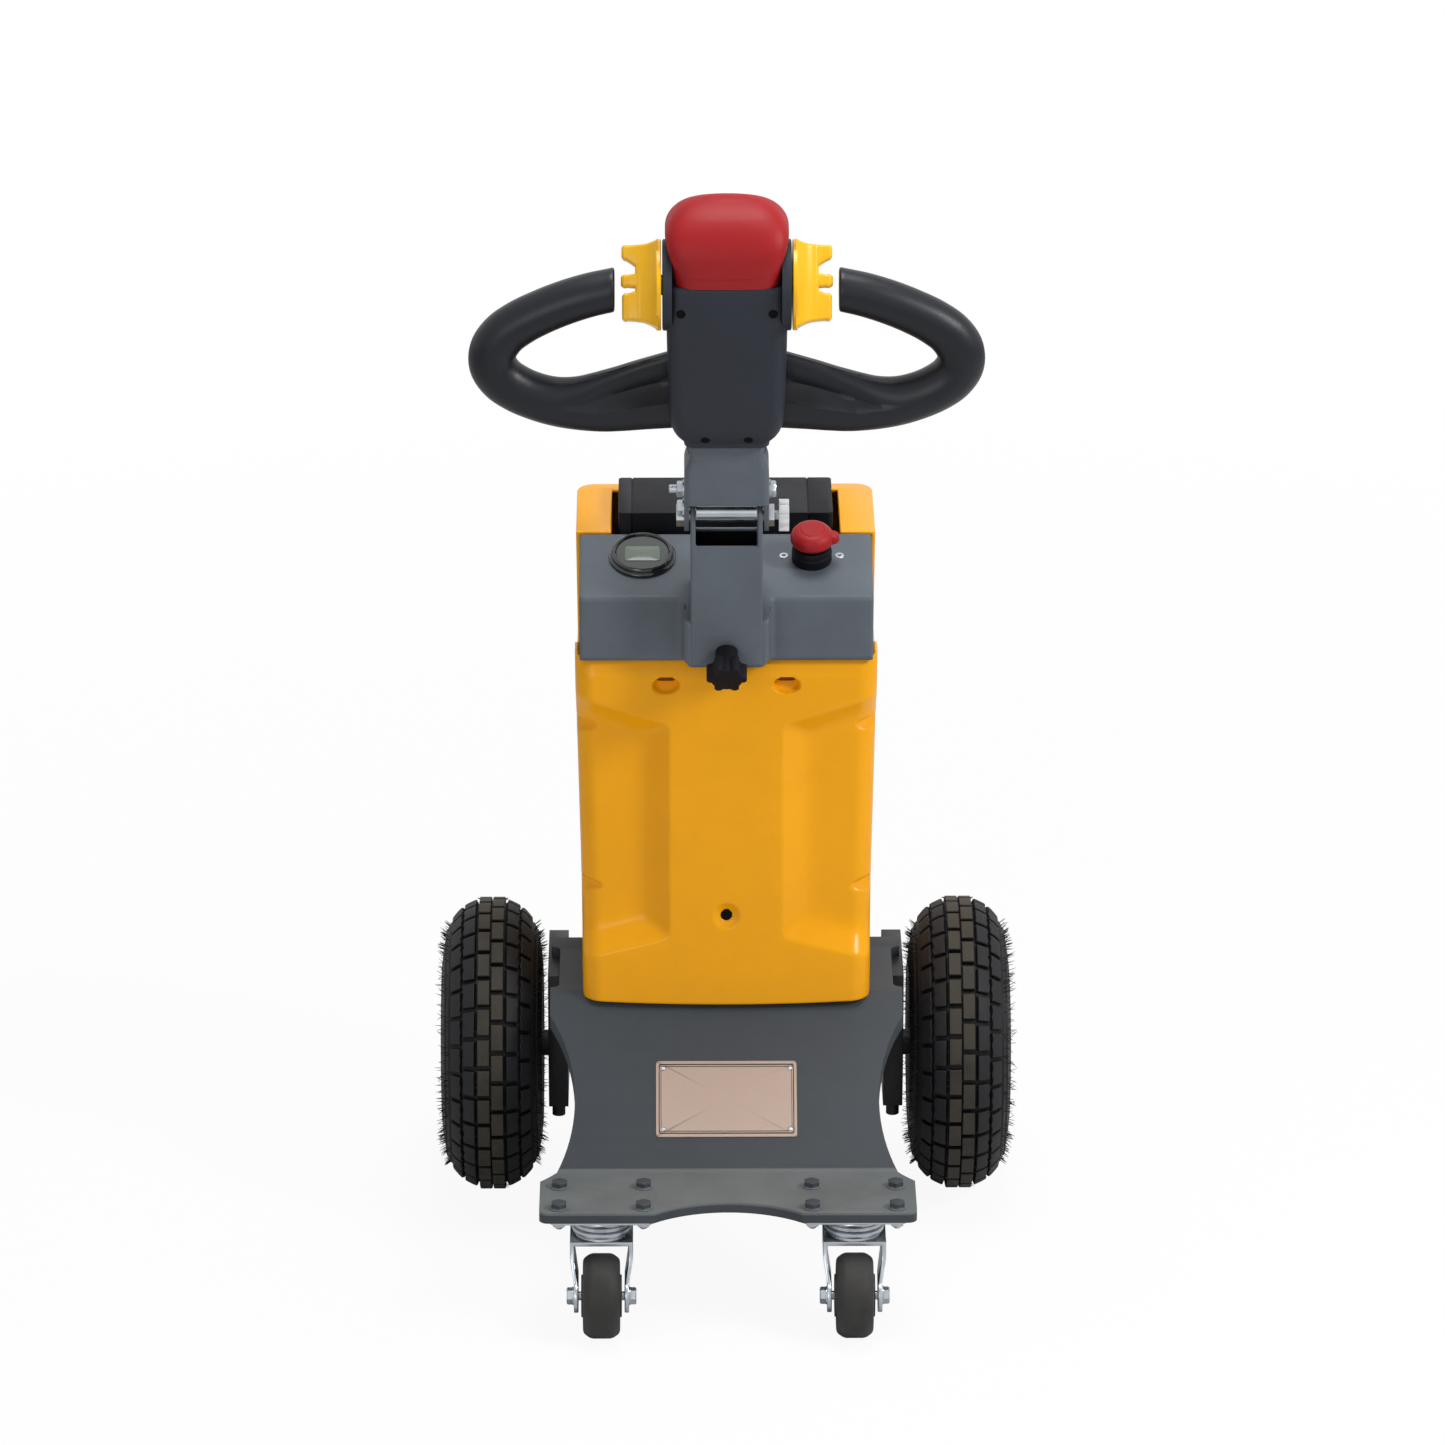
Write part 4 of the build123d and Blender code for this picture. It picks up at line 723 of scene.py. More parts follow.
# Looped grips: an oval section carried from the thumb end round the elbow to the head. Near the
# head it grows tall, and above a ridge its front sinks back, which leaves a roll under a web.
gripLoop = dict(
    forward=8.0,
    # x and height of the section's middle, half tall, half deep, how far the web is sunk
    stations=(
        (100, 144.2, 19.2, 19.2, 0), (120, 139.4, 19.4, 19.4, 0), (142, 132, 19.6, 19.5, 0),
        (163, 122.8, 19.8, 19.6, 0), (181.5, 112.6, 20.2, 19.8, 0), (196, 101, 20.6, 20, 0),
        (204.6, 87, 21, 20.2, 0), (205.2, 72, 21.2, 20.2, 0), (197.6, 59, 21.2, 20.2, 0),
        (184.6, 49, 21.2, 20, 0), (168, 41.2, 21.4, 19.6, 0), (150, 36.2, 22.4, 19, 0.8),
        (132, 34.6, 24, 18.4, 4.5), (114, 35.6, 26.4, 17.8, 10), (94, 38.6, 29, 17.4, 15),
        (72, 43, 32, 17.2, 18.5), (46, 47.8, 35.4, 17, 20),
    ),
    # share of the section and mm back for the rings that close the thumb end
    closing=((0, 2), (0.7, 2), (0.9, 1.9), (0.965, 1.3), (0.99, 0.6)),
    rings=112, facets=64, uprightOver=26.0, ridge=0.06, webRun=0.09, webBack=0.62, thinnest=0.4,
    # how much squarer the section is where the web is sunk by fullSunk
    squarer=0.9, fullSunk=12.0,
)


def makeGrips(forward, stations, closing, rings, facets, uprightOver, ridge, webRun, webBack, thinnest,
              squarer, fullSunk):
    knots = np.array(stations)
    gone = np.concatenate([[0], np.cumsum(np.hypot(*np.diff(knots[:, :2], axis=0).T))])
    at = np.linspace(0, gone[-1], rings)
    x, up, tall, deep, sunk = (through(gone, knots[:, k], at)[:, None] for k in range(5))
    sunk = np.maximum(sunk, 0)
    path = np.concatenate([x, up], -1)
    along = np.gradient(path, axis=0)
    along = along / np.linalg.norm(along, axis=1, keepdims=True)
    across = np.stack([-along[:, 1], along[:, 0]], -1)
    # the thumb end is cut upright: across turns to the vertical over the last rings
    upright = np.clip(1 - at / uprightOver, 0, 1)[:, None]
    vertical = np.stack([np.zeros(rings), np.sign(across[:, 1]) / np.abs(across[:, 1]).clip(0.5)], -1)
    across = across * (1 - upright) + vertical * upright
    angle = (np.arange(facets) + 0.5) * 2 * np.pi / facets
    squareness = 2 + squarer * np.clip(sunk / fullSunk, 0, 1)
    offset = tall * squarish(np.cos(angle), squareness)
    depth = deep * squarish(np.sin(angle), squareness)
    height = offset / tall * np.sign(across[:, 1:2])
    # the web is deepest just over the ridge and comes forward again towards its top edge
    over = height - ridge
    easing = np.clip(over / webRun, 0, 1) * (1 - webBack * np.clip(over / (1 - ridge), 0, 1))
    depth = np.where(depth > 0, np.maximum(depth - sunk * easing, thinnest), depth)
    place = path[:, None] + across[:, None] * offset[..., None]
    ends = [path[0] + (place[0] - path[0]) * share - along[0] * back * (1, 0) for share, back in closing]
    place = np.concatenate([ends, place, np.broadcast_to(path[-1], (1, facets, 2))])
    closed = [depth[0] * share for share, _ in closing]
    toward = np.concatenate([closed, depth, np.zeros((1, facets))]) + forward
    for side, name in sides:
        grid = onTiller(place[..., 0] * side, place[..., 1] + tillerFrame["headStart"], toward)
        addGrids(f"gripLoop_{name}", [grid], "tiller", "grip_rubber", f"grip_{name}", smoothAngle=44.0)


makeBellyButton(**bellyButton)
makeHead(**headShell)
makeThumbWheels(**thumbWheel)
makeGrips(**gripLoop)
print("tiller head made")


# Front cover: a moulded shell. Its face is a tilted plane less 15 mm in the two fields, and the
# field's depth is a rounded ramp of the distance in from its nearest edge.
frontCover = dict(
    low=231.0, high=552.0, deck=234.0, top=643.0, faceY=-20.0, tilt=3.06, split=30.0,
    halfTop=135.0, halfLow=130.0, corner=18.0, wall=3.5,
    flare=((231, 0), (360, 0), (410, 0.6), (455, 1.1), (505, 1.8), (552, 2)),
    fieldEdge=51.0, fieldDepth=15.0, sideRun=21.0, topAt=491.0, topRise=0.32, topRun=19.0,
    footAt=290.0, footRise=0.25, footRun=20.0, meet=0.35, rampStart=0.06, rampEnd=0.30,
    # hollows: reach along x and z, depth, share lost at the low lip, fullness, power, bend
    screws=((-54.0, 528.0), (54.0, 528.0)), screw=(12.5, 8.0, 13.0, 0.38, 1.6, 3.4, 0.9),
    scoops=(486.0, 334.0), scoop=(19.0, 7.0, 9.0, 0.4, 1.35, 2.6, 1.0),
    peep=(0.0, 311.0), peepRadius=4.4, peepSoft=0.8, peepDeep=9.0, dishRadius=12.5, dishDeep=4.2,
    footBow=3.0, bowTop=311.0, bowRun=60.0, dropTop=262.0, dropRun=31.0,
    browRoll=5.5, browFrom=535.0, browRun=17.0, browPower=1.5,
    # painted shade: a dark disc in the bottom of the peep hole and, browner, in each of the two screw wells
    plug=((0, -1.0), (5.2, -1.0), (5.2, 1.2), (0, 1.2)), plugProud=8.6,
    well=((0, -1.0), (5.0, -1.0), (5.0, 0.6), (4.4, 1.0), (0, 1.2)), wellProud=1.2, wellUp=5.0, wellWide=2.0,
)


def softClamp(value, low, high):
    # 0 below 0 and 1 above 1, rounded by low and high at the two bends
    value = (value + np.sqrt(value ** 2 + low ** 2)) / 2
    over = value - 1
    return 1 - (np.sqrt(over ** 2 + high ** 2) - over) / 2 + high / 8


def softMin(a, b, reach):
    # The smaller of two distances, with a round of that reach where they cross
    share = np.clip(0.5 + (b - a) / (2 * reach), 0, 1)
    return b * (1 - share) + a * share - reach * share * (1 - share)


def hollow(x, z, longX, tall, deep, lip, full, power, bend):
    # deep * full * (1 - distance ** power), the share cut off at 0 and 1, less at its low lip
    share = 1 - lip + lip * np.clip(z / tall, -1, 1)
    return deep * share * np.clip(full - full * np.hypot(x / longX, z / tall) ** power, 0, 1) ** bend


def coverFace(x, z, s):
    away = np.abs(x)
    half = coverHalf(z, s)
    pastEdge = away - s["fieldEdge"]
    topIn = (s["topAt"] + s["topRise"] * pastEdge - z) / s["topRun"]
    footIn = (z - s["footAt"] + s["footRise"] * pastEdge) / s["footRun"]
    inside = softMin(softMin(pastEdge / s["sideRun"], topIn, s["meet"]), footIn, s["meet"])
    depth = s["fieldDepth"] * np.clip(softClamp(inside, s["rampStart"], s["rampEnd"]), 0, 1)
    for screwX, screwZ in s["screws"]:
        depth = depth + hollow(x - screwX, z - screwZ, *s["screw"])
    for scoopZ in s["scoops"]:
        depth = depth + hollow(away - half, z - scoopZ, *s["scoop"])
    fromPeep = np.hypot(x - s["peep"][0], z - s["peep"][1])
    depth = depth + s["dishDeep"] * np.clip(1 - (fromPeep / s["dishRadius"]) ** 2, 0, 1)
    depth = depth + s["peepDeep"] * np.clip((s["peepRadius"] - fromPeep) / s["peepSoft"] + 0.5, 0, 1)
    bow = s["footBow"] * (1 - (away / half) ** 2) * np.clip((s["bowTop"] - z) / s["bowRun"], 0, 1)
    roll = s["browRoll"] * np.clip((z - s["browFrom"]) / s["browRun"], 0, 1) ** s["browPower"]
    return s["faceY"] - (s["high"] - z) * math.tan(math.radians(s["tilt"])) + depth - bow + roll


def coverHalf(z, s):
    share = (z - s["deck"]) / (s["top"] - s["deck"])
    flare = np.array(s["flare"])
    return s["halfLow"] + share * (s["halfTop"] - s["halfLow"]) + through(flare[:, 0], flare[:, 1], z)


def makeFrontCover(**s):
    level = np.linspace(s["low"], s["high"], 222)[:, None]
    half = coverHalf(level, s)
    corner = s["corner"]
    frontX = np.linspace(-1, 1, 171) * (half - corner)
    frontY = coverFace(frontX, level + 0 * frontX, s)
    # corners: quarter circles from the face's edge to the side, then straight back to the split
    phi = np.linspace(0, np.pi / 2, 14)[1:]
    back = np.linspace(0, 1, 12)[1:]
    x = half - corner + corner * np.sin(phi)
    sideX = np.concatenate([x, half + 0 * back], 1)
    y = coverFace(x, level + 0 * x, s) + corner * (1 - np.cos(phi))
    sideY = np.concatenate([y, y[:, -1:] + back * (s["split"] - y[:, -1:])], 1)
    gridX = np.concatenate([-sideX[:, ::-1], frontX, sideX], 1)
    gridY = np.concatenate([sideY[:, ::-1], frontY, sideY], 1)
    bow = s["footBow"] * (1 - np.clip(np.abs(gridX / half), 0, 1) ** 2)
    gridZ = level - np.where(gridY < 0, bow * np.clip((s["dropTop"] - level) / s["dropRun"], 0, 1), 0)
    piece = addGrids(
        "coverShell", [np.stack([gridX, gridY, gridZ], -1) / 1000], "chassis", "housing_plastic",
        "front_cover", smoothAngle=60.0, closeV=False, weld=False, outward=False,
    )
    thicken(piece, s["wall"])
    # discs of painted shade sunk in the peep hole and high in the screw wells
    screwWells = [(x, z + s["wellUp"]) for x, z in s["screws"]]
    for name, finish, spots, shape, proud, wide in (
        ("coverWells", "holeBlack", [s["peep"]], s["plug"], s["plugProud"], 1.0),
        ("screwWells", "wellShade", screwWells, s["well"], s["wellProud"], s["wellWide"]),
    ):
        grids = []
        for x, z in spots:
            y = float(coverFace(np.array(x), np.array(z), s)) - proud
            grid = turned(shape, (0, y / 1000, z / 1000), (0, -1, 0), around=32)
            grids.append(grid * (wide, 1, 1) + (x / 1000, 0, 0))
        addGrids(name, grids, "chassis", "black_steel", finish=finish)


makeFrontCover(**frontCover)
print("front cover made")


# Softened copies: a CAD node's own faces, merged, with their sharp edges rounded
softEdges = {
    # node: bevel width mm
    "tiller_column": 2.6, "base_plate": 0.9, "rear_cover": 1.6, "battery_case": 1.2, "hitch_rail": 0.9,
    "tow_jaw": 1.0, "axle_clamp_left": 1.2, "axle_clamp_right": 1.2, "drive_motor": 1.2,
    "transaxle": 1.6, "inner_frame": 1.0, "column_knob": 1.2, "hinge_knob": 0.8,
    "caster_tyre_left": 2.6, "caster_tyre_right": 2.6, "caster_mount_left": 0.6,
    "caster_mount_right": 0.6, "caster_fork_left": 0.9, "caster_fork_right": 0.9,
}
softFinish = {"inner_frame": "deckPaint"}
nodeBody = {
    member: body for body, members in frame["record"]["behaviour"]["bodies"].items() for member in members
}


def makeSoftened(node, width):
    mesh = frame["nodes"][node].data.copy()
    mesh.name = f"{node}_soft"
    work = bmesh.new()
    work.from_mesh(mesh)
    bmesh.ops.remove_doubles(work, verts=work.verts, dist=0.00002)
    bmesh.ops.dissolve_limit(work, angle_limit=math.radians(1.0), verts=work.verts, edges=work.edges)
    work.to_mesh(mesh)
    work.free()
    mesh.polygons.foreach_set("use_smooth", np.ones(len(mesh.polygons), bool))
    piece = addPiece(f"{node}_soft", mesh, nodeBody[node], nodeSlot[node], node, softFinish.get(node))
    roundEdges(piece, width, 3, 34).harden_normals = True


for softNode, softWidth in softEdges.items():
    makeSoftened(softNode, softWidth)
print("softened copies made:", len(softEdges))


# Console: one folded sheet. Its plan runs along the front, round a cove and out to a collar that
# meets the column's face; its profile goes up the front, over the brow, up the tilted top and
# down the back. The flanks are the profile drawn down to its foot.
consoleSheet = dict(
    half=131.5, frontY=-20.0, backY=71.0, low=552.0, browZ=611.0, tilt=20.0, browRadius=6.0,
    crestRadius=3.0, crestFall=4.8, edgeRadius=3.0, edgeFrom=603.0, collarHalf=38.4, collarOut=31.6,
    cove=7.0, turn=5.5, collarDrop=7.0, collarChamfer=6.0, sheet=2.6,
    # on the top the collar's wall lies flat: x where its turn and its cove start, and the rows of the change
    flatTurn=30.0, flatCove=34.0, flatFrom=19, flatRows=4,
)


def arcPoints(middle, radius, start, end, count):
    angle = np.radians(np.linspace(start, end, count))
    return np.array(middle) + radius * np.stack([np.cos(angle), np.sin(angle)], -1)


def makeConsole(half, frontY, backY, low, browZ, tilt, browRadius, crestRadius, crestFall, edgeRadius,
                edgeFrom, collarHalf, collarOut, cove, turn, collarDrop, collarChamfer, sheet,
                flatTurn, flatCove, flatFrom, flatRows):
    # right half of the plan: x and how far it stands out from the front plane
    plan = np.concatenate([
        np.stack([np.linspace(0, collarHalf - turn, 12), np.full(12, collarOut)], -1),
        arcPoints((collarHalf - turn, collarOut - turn), turn, 90, 0, 8)[1:],
        np.stack([np.full(6, collarHalf), np.linspace(collarOut - turn, cove, 6)], -1)[1:],
        arcPoints((collarHalf + cove, cove), cove, 180, 270, 9)[1:],
        np.stack([np.linspace(collarHalf + cove, half - edgeRadius, 16), np.zeros(16)], -1)[1:],
        arcPoints((half - edgeRadius, -edgeRadius), edgeRadius, 90, 0, 6)[1:],
    ])
    flatX = plan[:, 0].copy()
    spread = np.concatenate([
        np.linspace(0, flatTurn, 12), np.linspace(flatTurn, flatCove, 8)[1:],
        np.linspace(flatCove, collarHalf, 6)[1:],
    ])
    flatX[:len(spread)] = spread
    flatX = np.concatenate([-flatX[:0:-1], flatX])
    x, out = np.concatenate([plan[:0:-1] * (-1, 1), plan]).T
    slope = math.tan(math.radians(tilt))
    faceY = frontY - out
    brow = browZ - out * slope
    foot = low + np.maximum(out, 0) * slope
    foot = foot - collarDrop * np.clip((collarHalf - np.abs(x)) / collarChamfer, 0, 1)
    # rows up the front, over the brow, up the top, over the crest and down the back
    rise = brow - browRadius * math.tan(math.radians((90 - tilt) / 2))
    rows = [(faceY, foot)]
    rows += [(faceY, foot + share * (rise - foot)) for share in np.linspace(0.08, 1, 10)]
    rows += [
        (faceY + browRadius * (1 + np.cos(angle)), rise + browRadius * np.sin(angle))
        for angle in np.radians(np.linspace(180, 90 + tilt, 9)[1:])
    ]
    startY = rows[-1][0]
    endY = backY - 2 * crestRadius
    topY = [startY + share * (endY - startY) for share in np.linspace(0, 1, 24)[1:]]
    rows += [(y, browZ + (y - frontY) * slope) for y in topY]
    crest = browZ + (endY - frontY) * slope
    for angle in np.linspace(0, np.pi / 2, 7)[1:]:
        rows.append((
            endY + 2 * crestRadius * np.sin(angle) + 0 * x, crest - crestFall * (1 - np.cos(angle)) + 0 * x,
        ))
    last = rows[-1][1]
    rows += [(backY + 0 * x, last + share * (low - last)) for share in np.linspace(0, 1, 11)[1:]]
    y, z = np.array(rows).transpose(1, 0, 2)
    across = x + np.clip((np.arange(len(rows)) - flatFrom) / flatRows, 0, 1)[:, None] * (flatX - x)
    # the top's side edges are rounded down like the plan's ends
    nearEdge = np.clip((np.abs(across) - (half - edgeRadius)) / edgeRadius, 0, 1)
    z = z - np.where(z > edgeFrom, edgeRadius * (1 - np.sqrt(1 - nearEdge ** 2)), 0)
    # each flank hangs from the top's edge between the front sheet's edge and the back sheet's
    grids = [np.stack([across, y, z], -1) / 1000]
    frontTop, backTop = 10, len(rows) - 11
    for side, column in ((-1, 0), (1, -1)):
        edgeY, edgeZ = y[:, column], z[:, column]
        frontEdge, backEdge = edgeZ[frontTop::-1], edgeZ[backTop:]
        down = (frontEdge[0] - frontEdge) / (frontEdge[0] - frontEdge[-1])
        topEdge = edgeZ[frontTop:backTop + 1, None]
        flankZ = topEdge + down * (low - topEdge)
        flankZ[0], flankZ[-1] = frontEdge, backEdge
        flankY = edgeY[frontTop:backTop + 1, None] + 0 * flankZ
        flank = np.stack([side * half + 0 * flankZ, flankY, flankZ], -1) / 1000
        grids.append(flank[:, ::-1] if side < 0 else flank)
    piece = addGrids(
        "consoleShell", grids, "chassis", "console_paint", "console", smoothAngle=50.0, closeV=False,
        outward=False,
    )
    thicken(piece, sheet)


makeConsole(**consoleSheet)
print("console made")


# Tiller arm: a channel open at the back, whose shoulders close on the tongue under the head
tillerArm = dict(
    half=37.5, front=24.5, back=-18.5, corner=6.0, hinge=14.0, webLow=21.0, backLow=14.0,
    shoulderLow=49.0, shoulderHigh=64.0, shoulderPower=1.9, tongueHalf=33.2, tongueTop=84.0,
    tongueBack=2.0, backFrom=10.0, wall=4.2, edge=0.8,
)
armTongue = dict(half=32.6, front=20.2, back=13.5, low=40.0, high=84.0, corner=2.0, chamfer=1.2)


def makeTillerArm(half, front, back, corner, hinge, webLow, backLow, shoulderLow, shoulderHigh,
                  shoulderPower, tongueHalf, tongueTop, tongueBack, backFrom, wall, edge):
    # Path round the section: up one side wall, round the corner, over the front and back again
    turn = np.linspace(0, np.pi / 2, 9)[1:]
    x = np.concatenate([np.full(26, half), half - corner + corner * np.cos(turn)])
    d = np.concatenate([np.linspace(back, front - corner, 26), front - corner + corner * np.sin(turn)])
    # the low edge is round over the hinge, then climbs to the web and to the back
    pastHinge = np.where(
        d > 0, webLow * np.clip((d - hinge) / (front - corner - hinge), 0, 1),
        backLow * (-d - hinge) / (-back - hinge),
    )
    low = np.where(np.abs(d) <= hinge, -np.sqrt(np.clip(hinge ** 2 - d ** 2, 0, None)), pastHinge)
    flat = np.linspace(half - corner, corner - half, 14)[1:-1]
    x = np.concatenate([x, flat, -x[::-1]])
    d = np.concatenate([d, np.full(12, front), d[::-1]])
    low = np.concatenate([low, np.full(12, webLow), low[::-1]])
    # heights: the walls, then a quarter turn in to the tongue, then the tongue
    rise = np.linspace(0, 1, 12)[:, None]
    bend = np.linspace(0, 1, 9)[1:, None]
    up = np.concatenate([
        low + rise * (shoulderLow - low), shoulderLow + (shoulderHigh - shoulderLow) * bend + 0 * low,
        tongueTop + 0 * low[None],
    ])
    shrink = np.concatenate([np.zeros((12, 1)), bend ** shoulderPower, np.ones((1, 1))])
    inward = 1 - shrink * (half - tongueHalf) / half
    grid = onTiller(x * inward, up, d - shrink * tongueBack * (d > backFrom))
    piece = addGrids(
        "armChannel", [grid], "tiller", "console_paint", "tiller_arm", smoothAngle=40.0, closeV=False,
        weld=False,
    )
    thicken(piece, wall)
    roundEdges(piece, edge, 2, 50)


def makeArmTongue(half, front, back, low, high, corner, chamfer):
    level = np.array((low, low + chamfer, high))
    inset = np.array((chamfer, 0.0, 0.0))
    x, toward = roundedLoop(half - inset, front - inset, back - inset, corner + 0 * inset, 5)
    grid = onTiller(poled(x), endsTwice(level), poled(toward))
    addGrids("armTongue", [grid], "tiller", "console_paint")


makeTillerArm(**tillerArm)
makeArmTongue(**armTongue)

# The dark inside of the column under the hinge: a thin near-black sheet of painted shade before its back wall
columnLining = dict(half=26.9, y=-2.2, thick=0.9, low=640.0, high=668.0)


def makeColumnShadeSheet(half, y, thick, low, high):
    x = np.array((-half, half, half, -half))
    middle = y - thick / 2
    depth = np.array((y - thick, y - thick, y, y)) - middle
    rings = [
        np.stack([share * x, middle + share * depth, z + 0 * x], -1)
        for share, z in ((0, low), (1, low), (1, high), (0, high))
    ]
    addGrids("columnLining", [np.array(rings) / 1000], "chassis", "black_steel", finish="holeBlack")


makeColumnShadeSheet(**columnLining)

pinTube = ((0, 0), (5.4, 0), (5.9, 0.5), (5.9, 53.5), (5.4, 54.0), (0, 54.0))
boltHead = (
    (0, 0), (8.4, 0), (8.4, 1.4), (6.6, 1.6, 1), (6.6, 5.4, 1), (6.2, 6.2, 0.5), (5.4, 6.5), (0, 6.5),
)
boltEnd = (
    (0, 0), (8.4, 0), (8.4, 1.4), (6.4, 1.6, 1), (6.4, 6, 1), (5.6, 6.6, 0.2), (4, 6.8), (4, 12.6),
    (3.2, 13.4), (0, 13.4),
)
hingeHardware = (
    # profile, place on the tiller, direction along x, sides, points round
    (pinTube, (-27.0, 10.5, 15.0), 1, 0, 40), (boltEnd, (-37.6, 28.0, 4.0), -1, 6, 36),
    (boltHead, (-37.6, 9.0, 4.0), -1, 6, 36), (boltHead, (37.6, 28.0, 4.0), 1, 6, 36),
)
hingeGrids = [
    turned(shape, onTiller(*place), (way, 0, 0), sides, around)
    for shape, place, way, sides, around in hingeHardware
]
addGrids("hingeHardware", hingeGrids, "tiller", "zinc")
print("tiller arm made")


# Gauge and emergency stop stand on the console's tilted top
topTilt = math.radians(consoleSheet["tilt"])


def onConsole(x, along, lift=0.0):
    x, along, lift = np.broadcast_arrays(x, along, lift)
    y = consoleSheet["frontY"] + along * math.cos(topTilt) - lift * math.sin(topTilt)
    z = consoleSheet["browZ"] + along * math.sin(topTilt) + lift * math.cos(topTilt)
    return np.stack([x, y, z], -1) / 1000


panelParts = dict(
    gauge=(-75.0, 58.0), stop=(77.0, 56.0),
    bezel=(
        (0, 0), (29.2, 0), (30, 0.8), (30, 2.6), (29.6, 3.2), (28.2, 4), (28, 5.2), (27.7, 6.4),
        (26.9, 7.5), (25.9, 7.95), (24.9, 7.8), (24.2, 7.1), (23.9, 6), (23.8, 4.6), (0, 4.6),
    ),
    glass=((0, 4.4), (23.7, 4.4), (23.7, 5.4), (23.2, 5.7), (0, 6.1)),
    screen=((15.5,), (10.2,), (10.2,), (2.0,)), screenAlong=-2.0,
    screenRows=((0, 5.9), (1, 5.9), (1, 6.35), (0.985, 6.45), (0, 6.45)),
    collar=((0, 0), (18, 0), (18, 8.6), (17.4, 9.4), (17.4, 13.4), (16.4, 15.6), (0, 16)),
    button=(
        (0, 15), (11, 15), (11, 19.4), (16.4, 19.6), (18.6, 20.6), (19.5, 22.6), (19.4, 25.4),
        (18.4, 28.4), (16.4, 31), (13.6, 32.8), (11.4, 33.2), (10.9, 33), (10.3, 33.2), (9.2, 33.8),
        (0, 34),
    ),
    lobe=((0, 20.4), (5.8, 20.4), (6.8, 21.6), (6.9, 24.6), (6.2, 27.0), (4.8, 28.6), (0, 29.2)),
    lobeOut=18.0,
    screws=((52, 60), (102, 60)),
    screw=((0, -0.6), (4.1, -0.6), (4.1, 0.25), (3.7, 0.55), (2, 0.6), (1.5, -0.2), (0, -0.3)),
)


def makePanelParts(gauge, stop, bezel, glass, screen, screenAlong, screenRows, collar, button, lobe,
                   lobeOut, screws, screw):
    def stand(name, slotName, items, smoothAngle, node=None, finish=None):
        # items: profile, its place on the console's top, points round
        facing = (0, -math.sin(topTilt), math.cos(topTilt))
        grids = [turned(shape, onConsole(*spot), facing, around=around) for shape, spot, around in items]
        addGrids(name, grids, "chassis", slotName, node, finish, smoothAngle=smoothAngle)

    stand("gaugeBezel", "gauge_black", [(bezel, gauge, 96)], 28.0, "gauge")
    stand("gaugeGlass", "gauge_black", [(glass, gauge, 96)], 28.0, finish="gaugeGlass")
    x, along = roundedLoop(*screen, 6)
    grid = np.stack([
        onConsole(gauge[0] + x[0] * share, gauge[1] + screenAlong + along[0] * share, lift)
        for share, lift in screenRows
    ])
    addGrids("gaugeScreen", [grid], "chassis", "gauge_black", finish="displayGrey")
    stand("stopCollar", "black_steel", [(collar, stop, 72)], 30.0, "estop_base", "batteryPlastic")
    items = [(button, stop, 96), (lobe, (stop[0] + lobeOut, stop[1]), 40)]
    stand("stopButton", "red_plastic", items, 26.0, "estop_knob")
    stand("panelScrews", "zinc", [(screw, spot, 32) for spot in screws], 35.0)


makePanelParts(**panelParts)
print("console panel made")


# Nameplate on the ramp: bare metal with a fine double border and a rivet in each corner
namePlate = dict(
    x=(-64.0, 63.0), y=(-142.6, -80.4), stripZ=119.0, stripEnd=-171.0, slope=0.7729, thick=0.9, chamfer=0.2,
    corner=3.0, tighter=0.3, tightest=1.0, borders=((2.6, 3.3), (4.4, 4.8)), borderSunk=0.1,
    borderLift=0.22, rivetIn=6.2,
    rivet=((0, 0), (2.3, 0), (2.2, 0.6), (1.6, 1.2), (0.8, 1.5), (0, 1.6)),
)


def makeNamePlate(x, y, stripZ, stripEnd, slope, thick, chamfer, corner, tighter, tightest, borders,
                  borderSunk, borderLift, rivetIn, rivet):
    halfX, halfY = (x[1] - x[0]) / 2, (y[1] - y[0]) / 2
    normal = np.array((0.0, -slope, 1.0)) / math.hypot(1, slope)

    def onRamp(across, along, lift):
        plateX, plateY = np.broadcast_arrays(sum(x) / 2 + across, sum(y) / 2 + along)
        base = np.stack([plateX, plateY, stripZ + slope * (plateY - stripEnd)], -1)
        return (base + lift * normal) / 1000

    def frameLoop(inset, lift):
        sizes = (halfX - inset, halfY - inset, halfY - inset, max(corner - inset * tighter, tightest))
        across, along = roundedLoop(*([size] for size in sizes), 5)
        return onRamp(across[0], along[0], lift)

    middle = np.zeros(20)
    sheet = [
        onRamp(middle, middle, 0.0), frameLoop(0, 0.0), frameLoop(0, thick - chamfer),
        frameLoop(chamfer, thick), onRamp(middle, middle, thick),
    ]
    addGrids("namePlate", [np.stack(sheet)], "chassis", "zinc", finish="nameplateMetal")
    low, high = thick - borderSunk, thick + borderLift
    lines = []
    for outer, inner in borders:
        section = ((outer, low), (outer, high), (inner, high), (inner, low), (outer, low))
        lines.append(np.stack([frameLoop(*corner) for corner in section]))
    addGrids("plateBorder", lines, "chassis", "black_steel", finish="batteryPlastic")
    spots = fourRound(0, 0, 2 * (halfX - rivetIn), 2 * (halfY - rivetIn))
    rivets = [turned(rivet, onRamp(*spot, thick), normal, around=24) for spot in spots]
    addGrids("plateRivets", rivets, "chassis", "zinc")


makeNamePlate(**namePlate)
print("nameplate made")


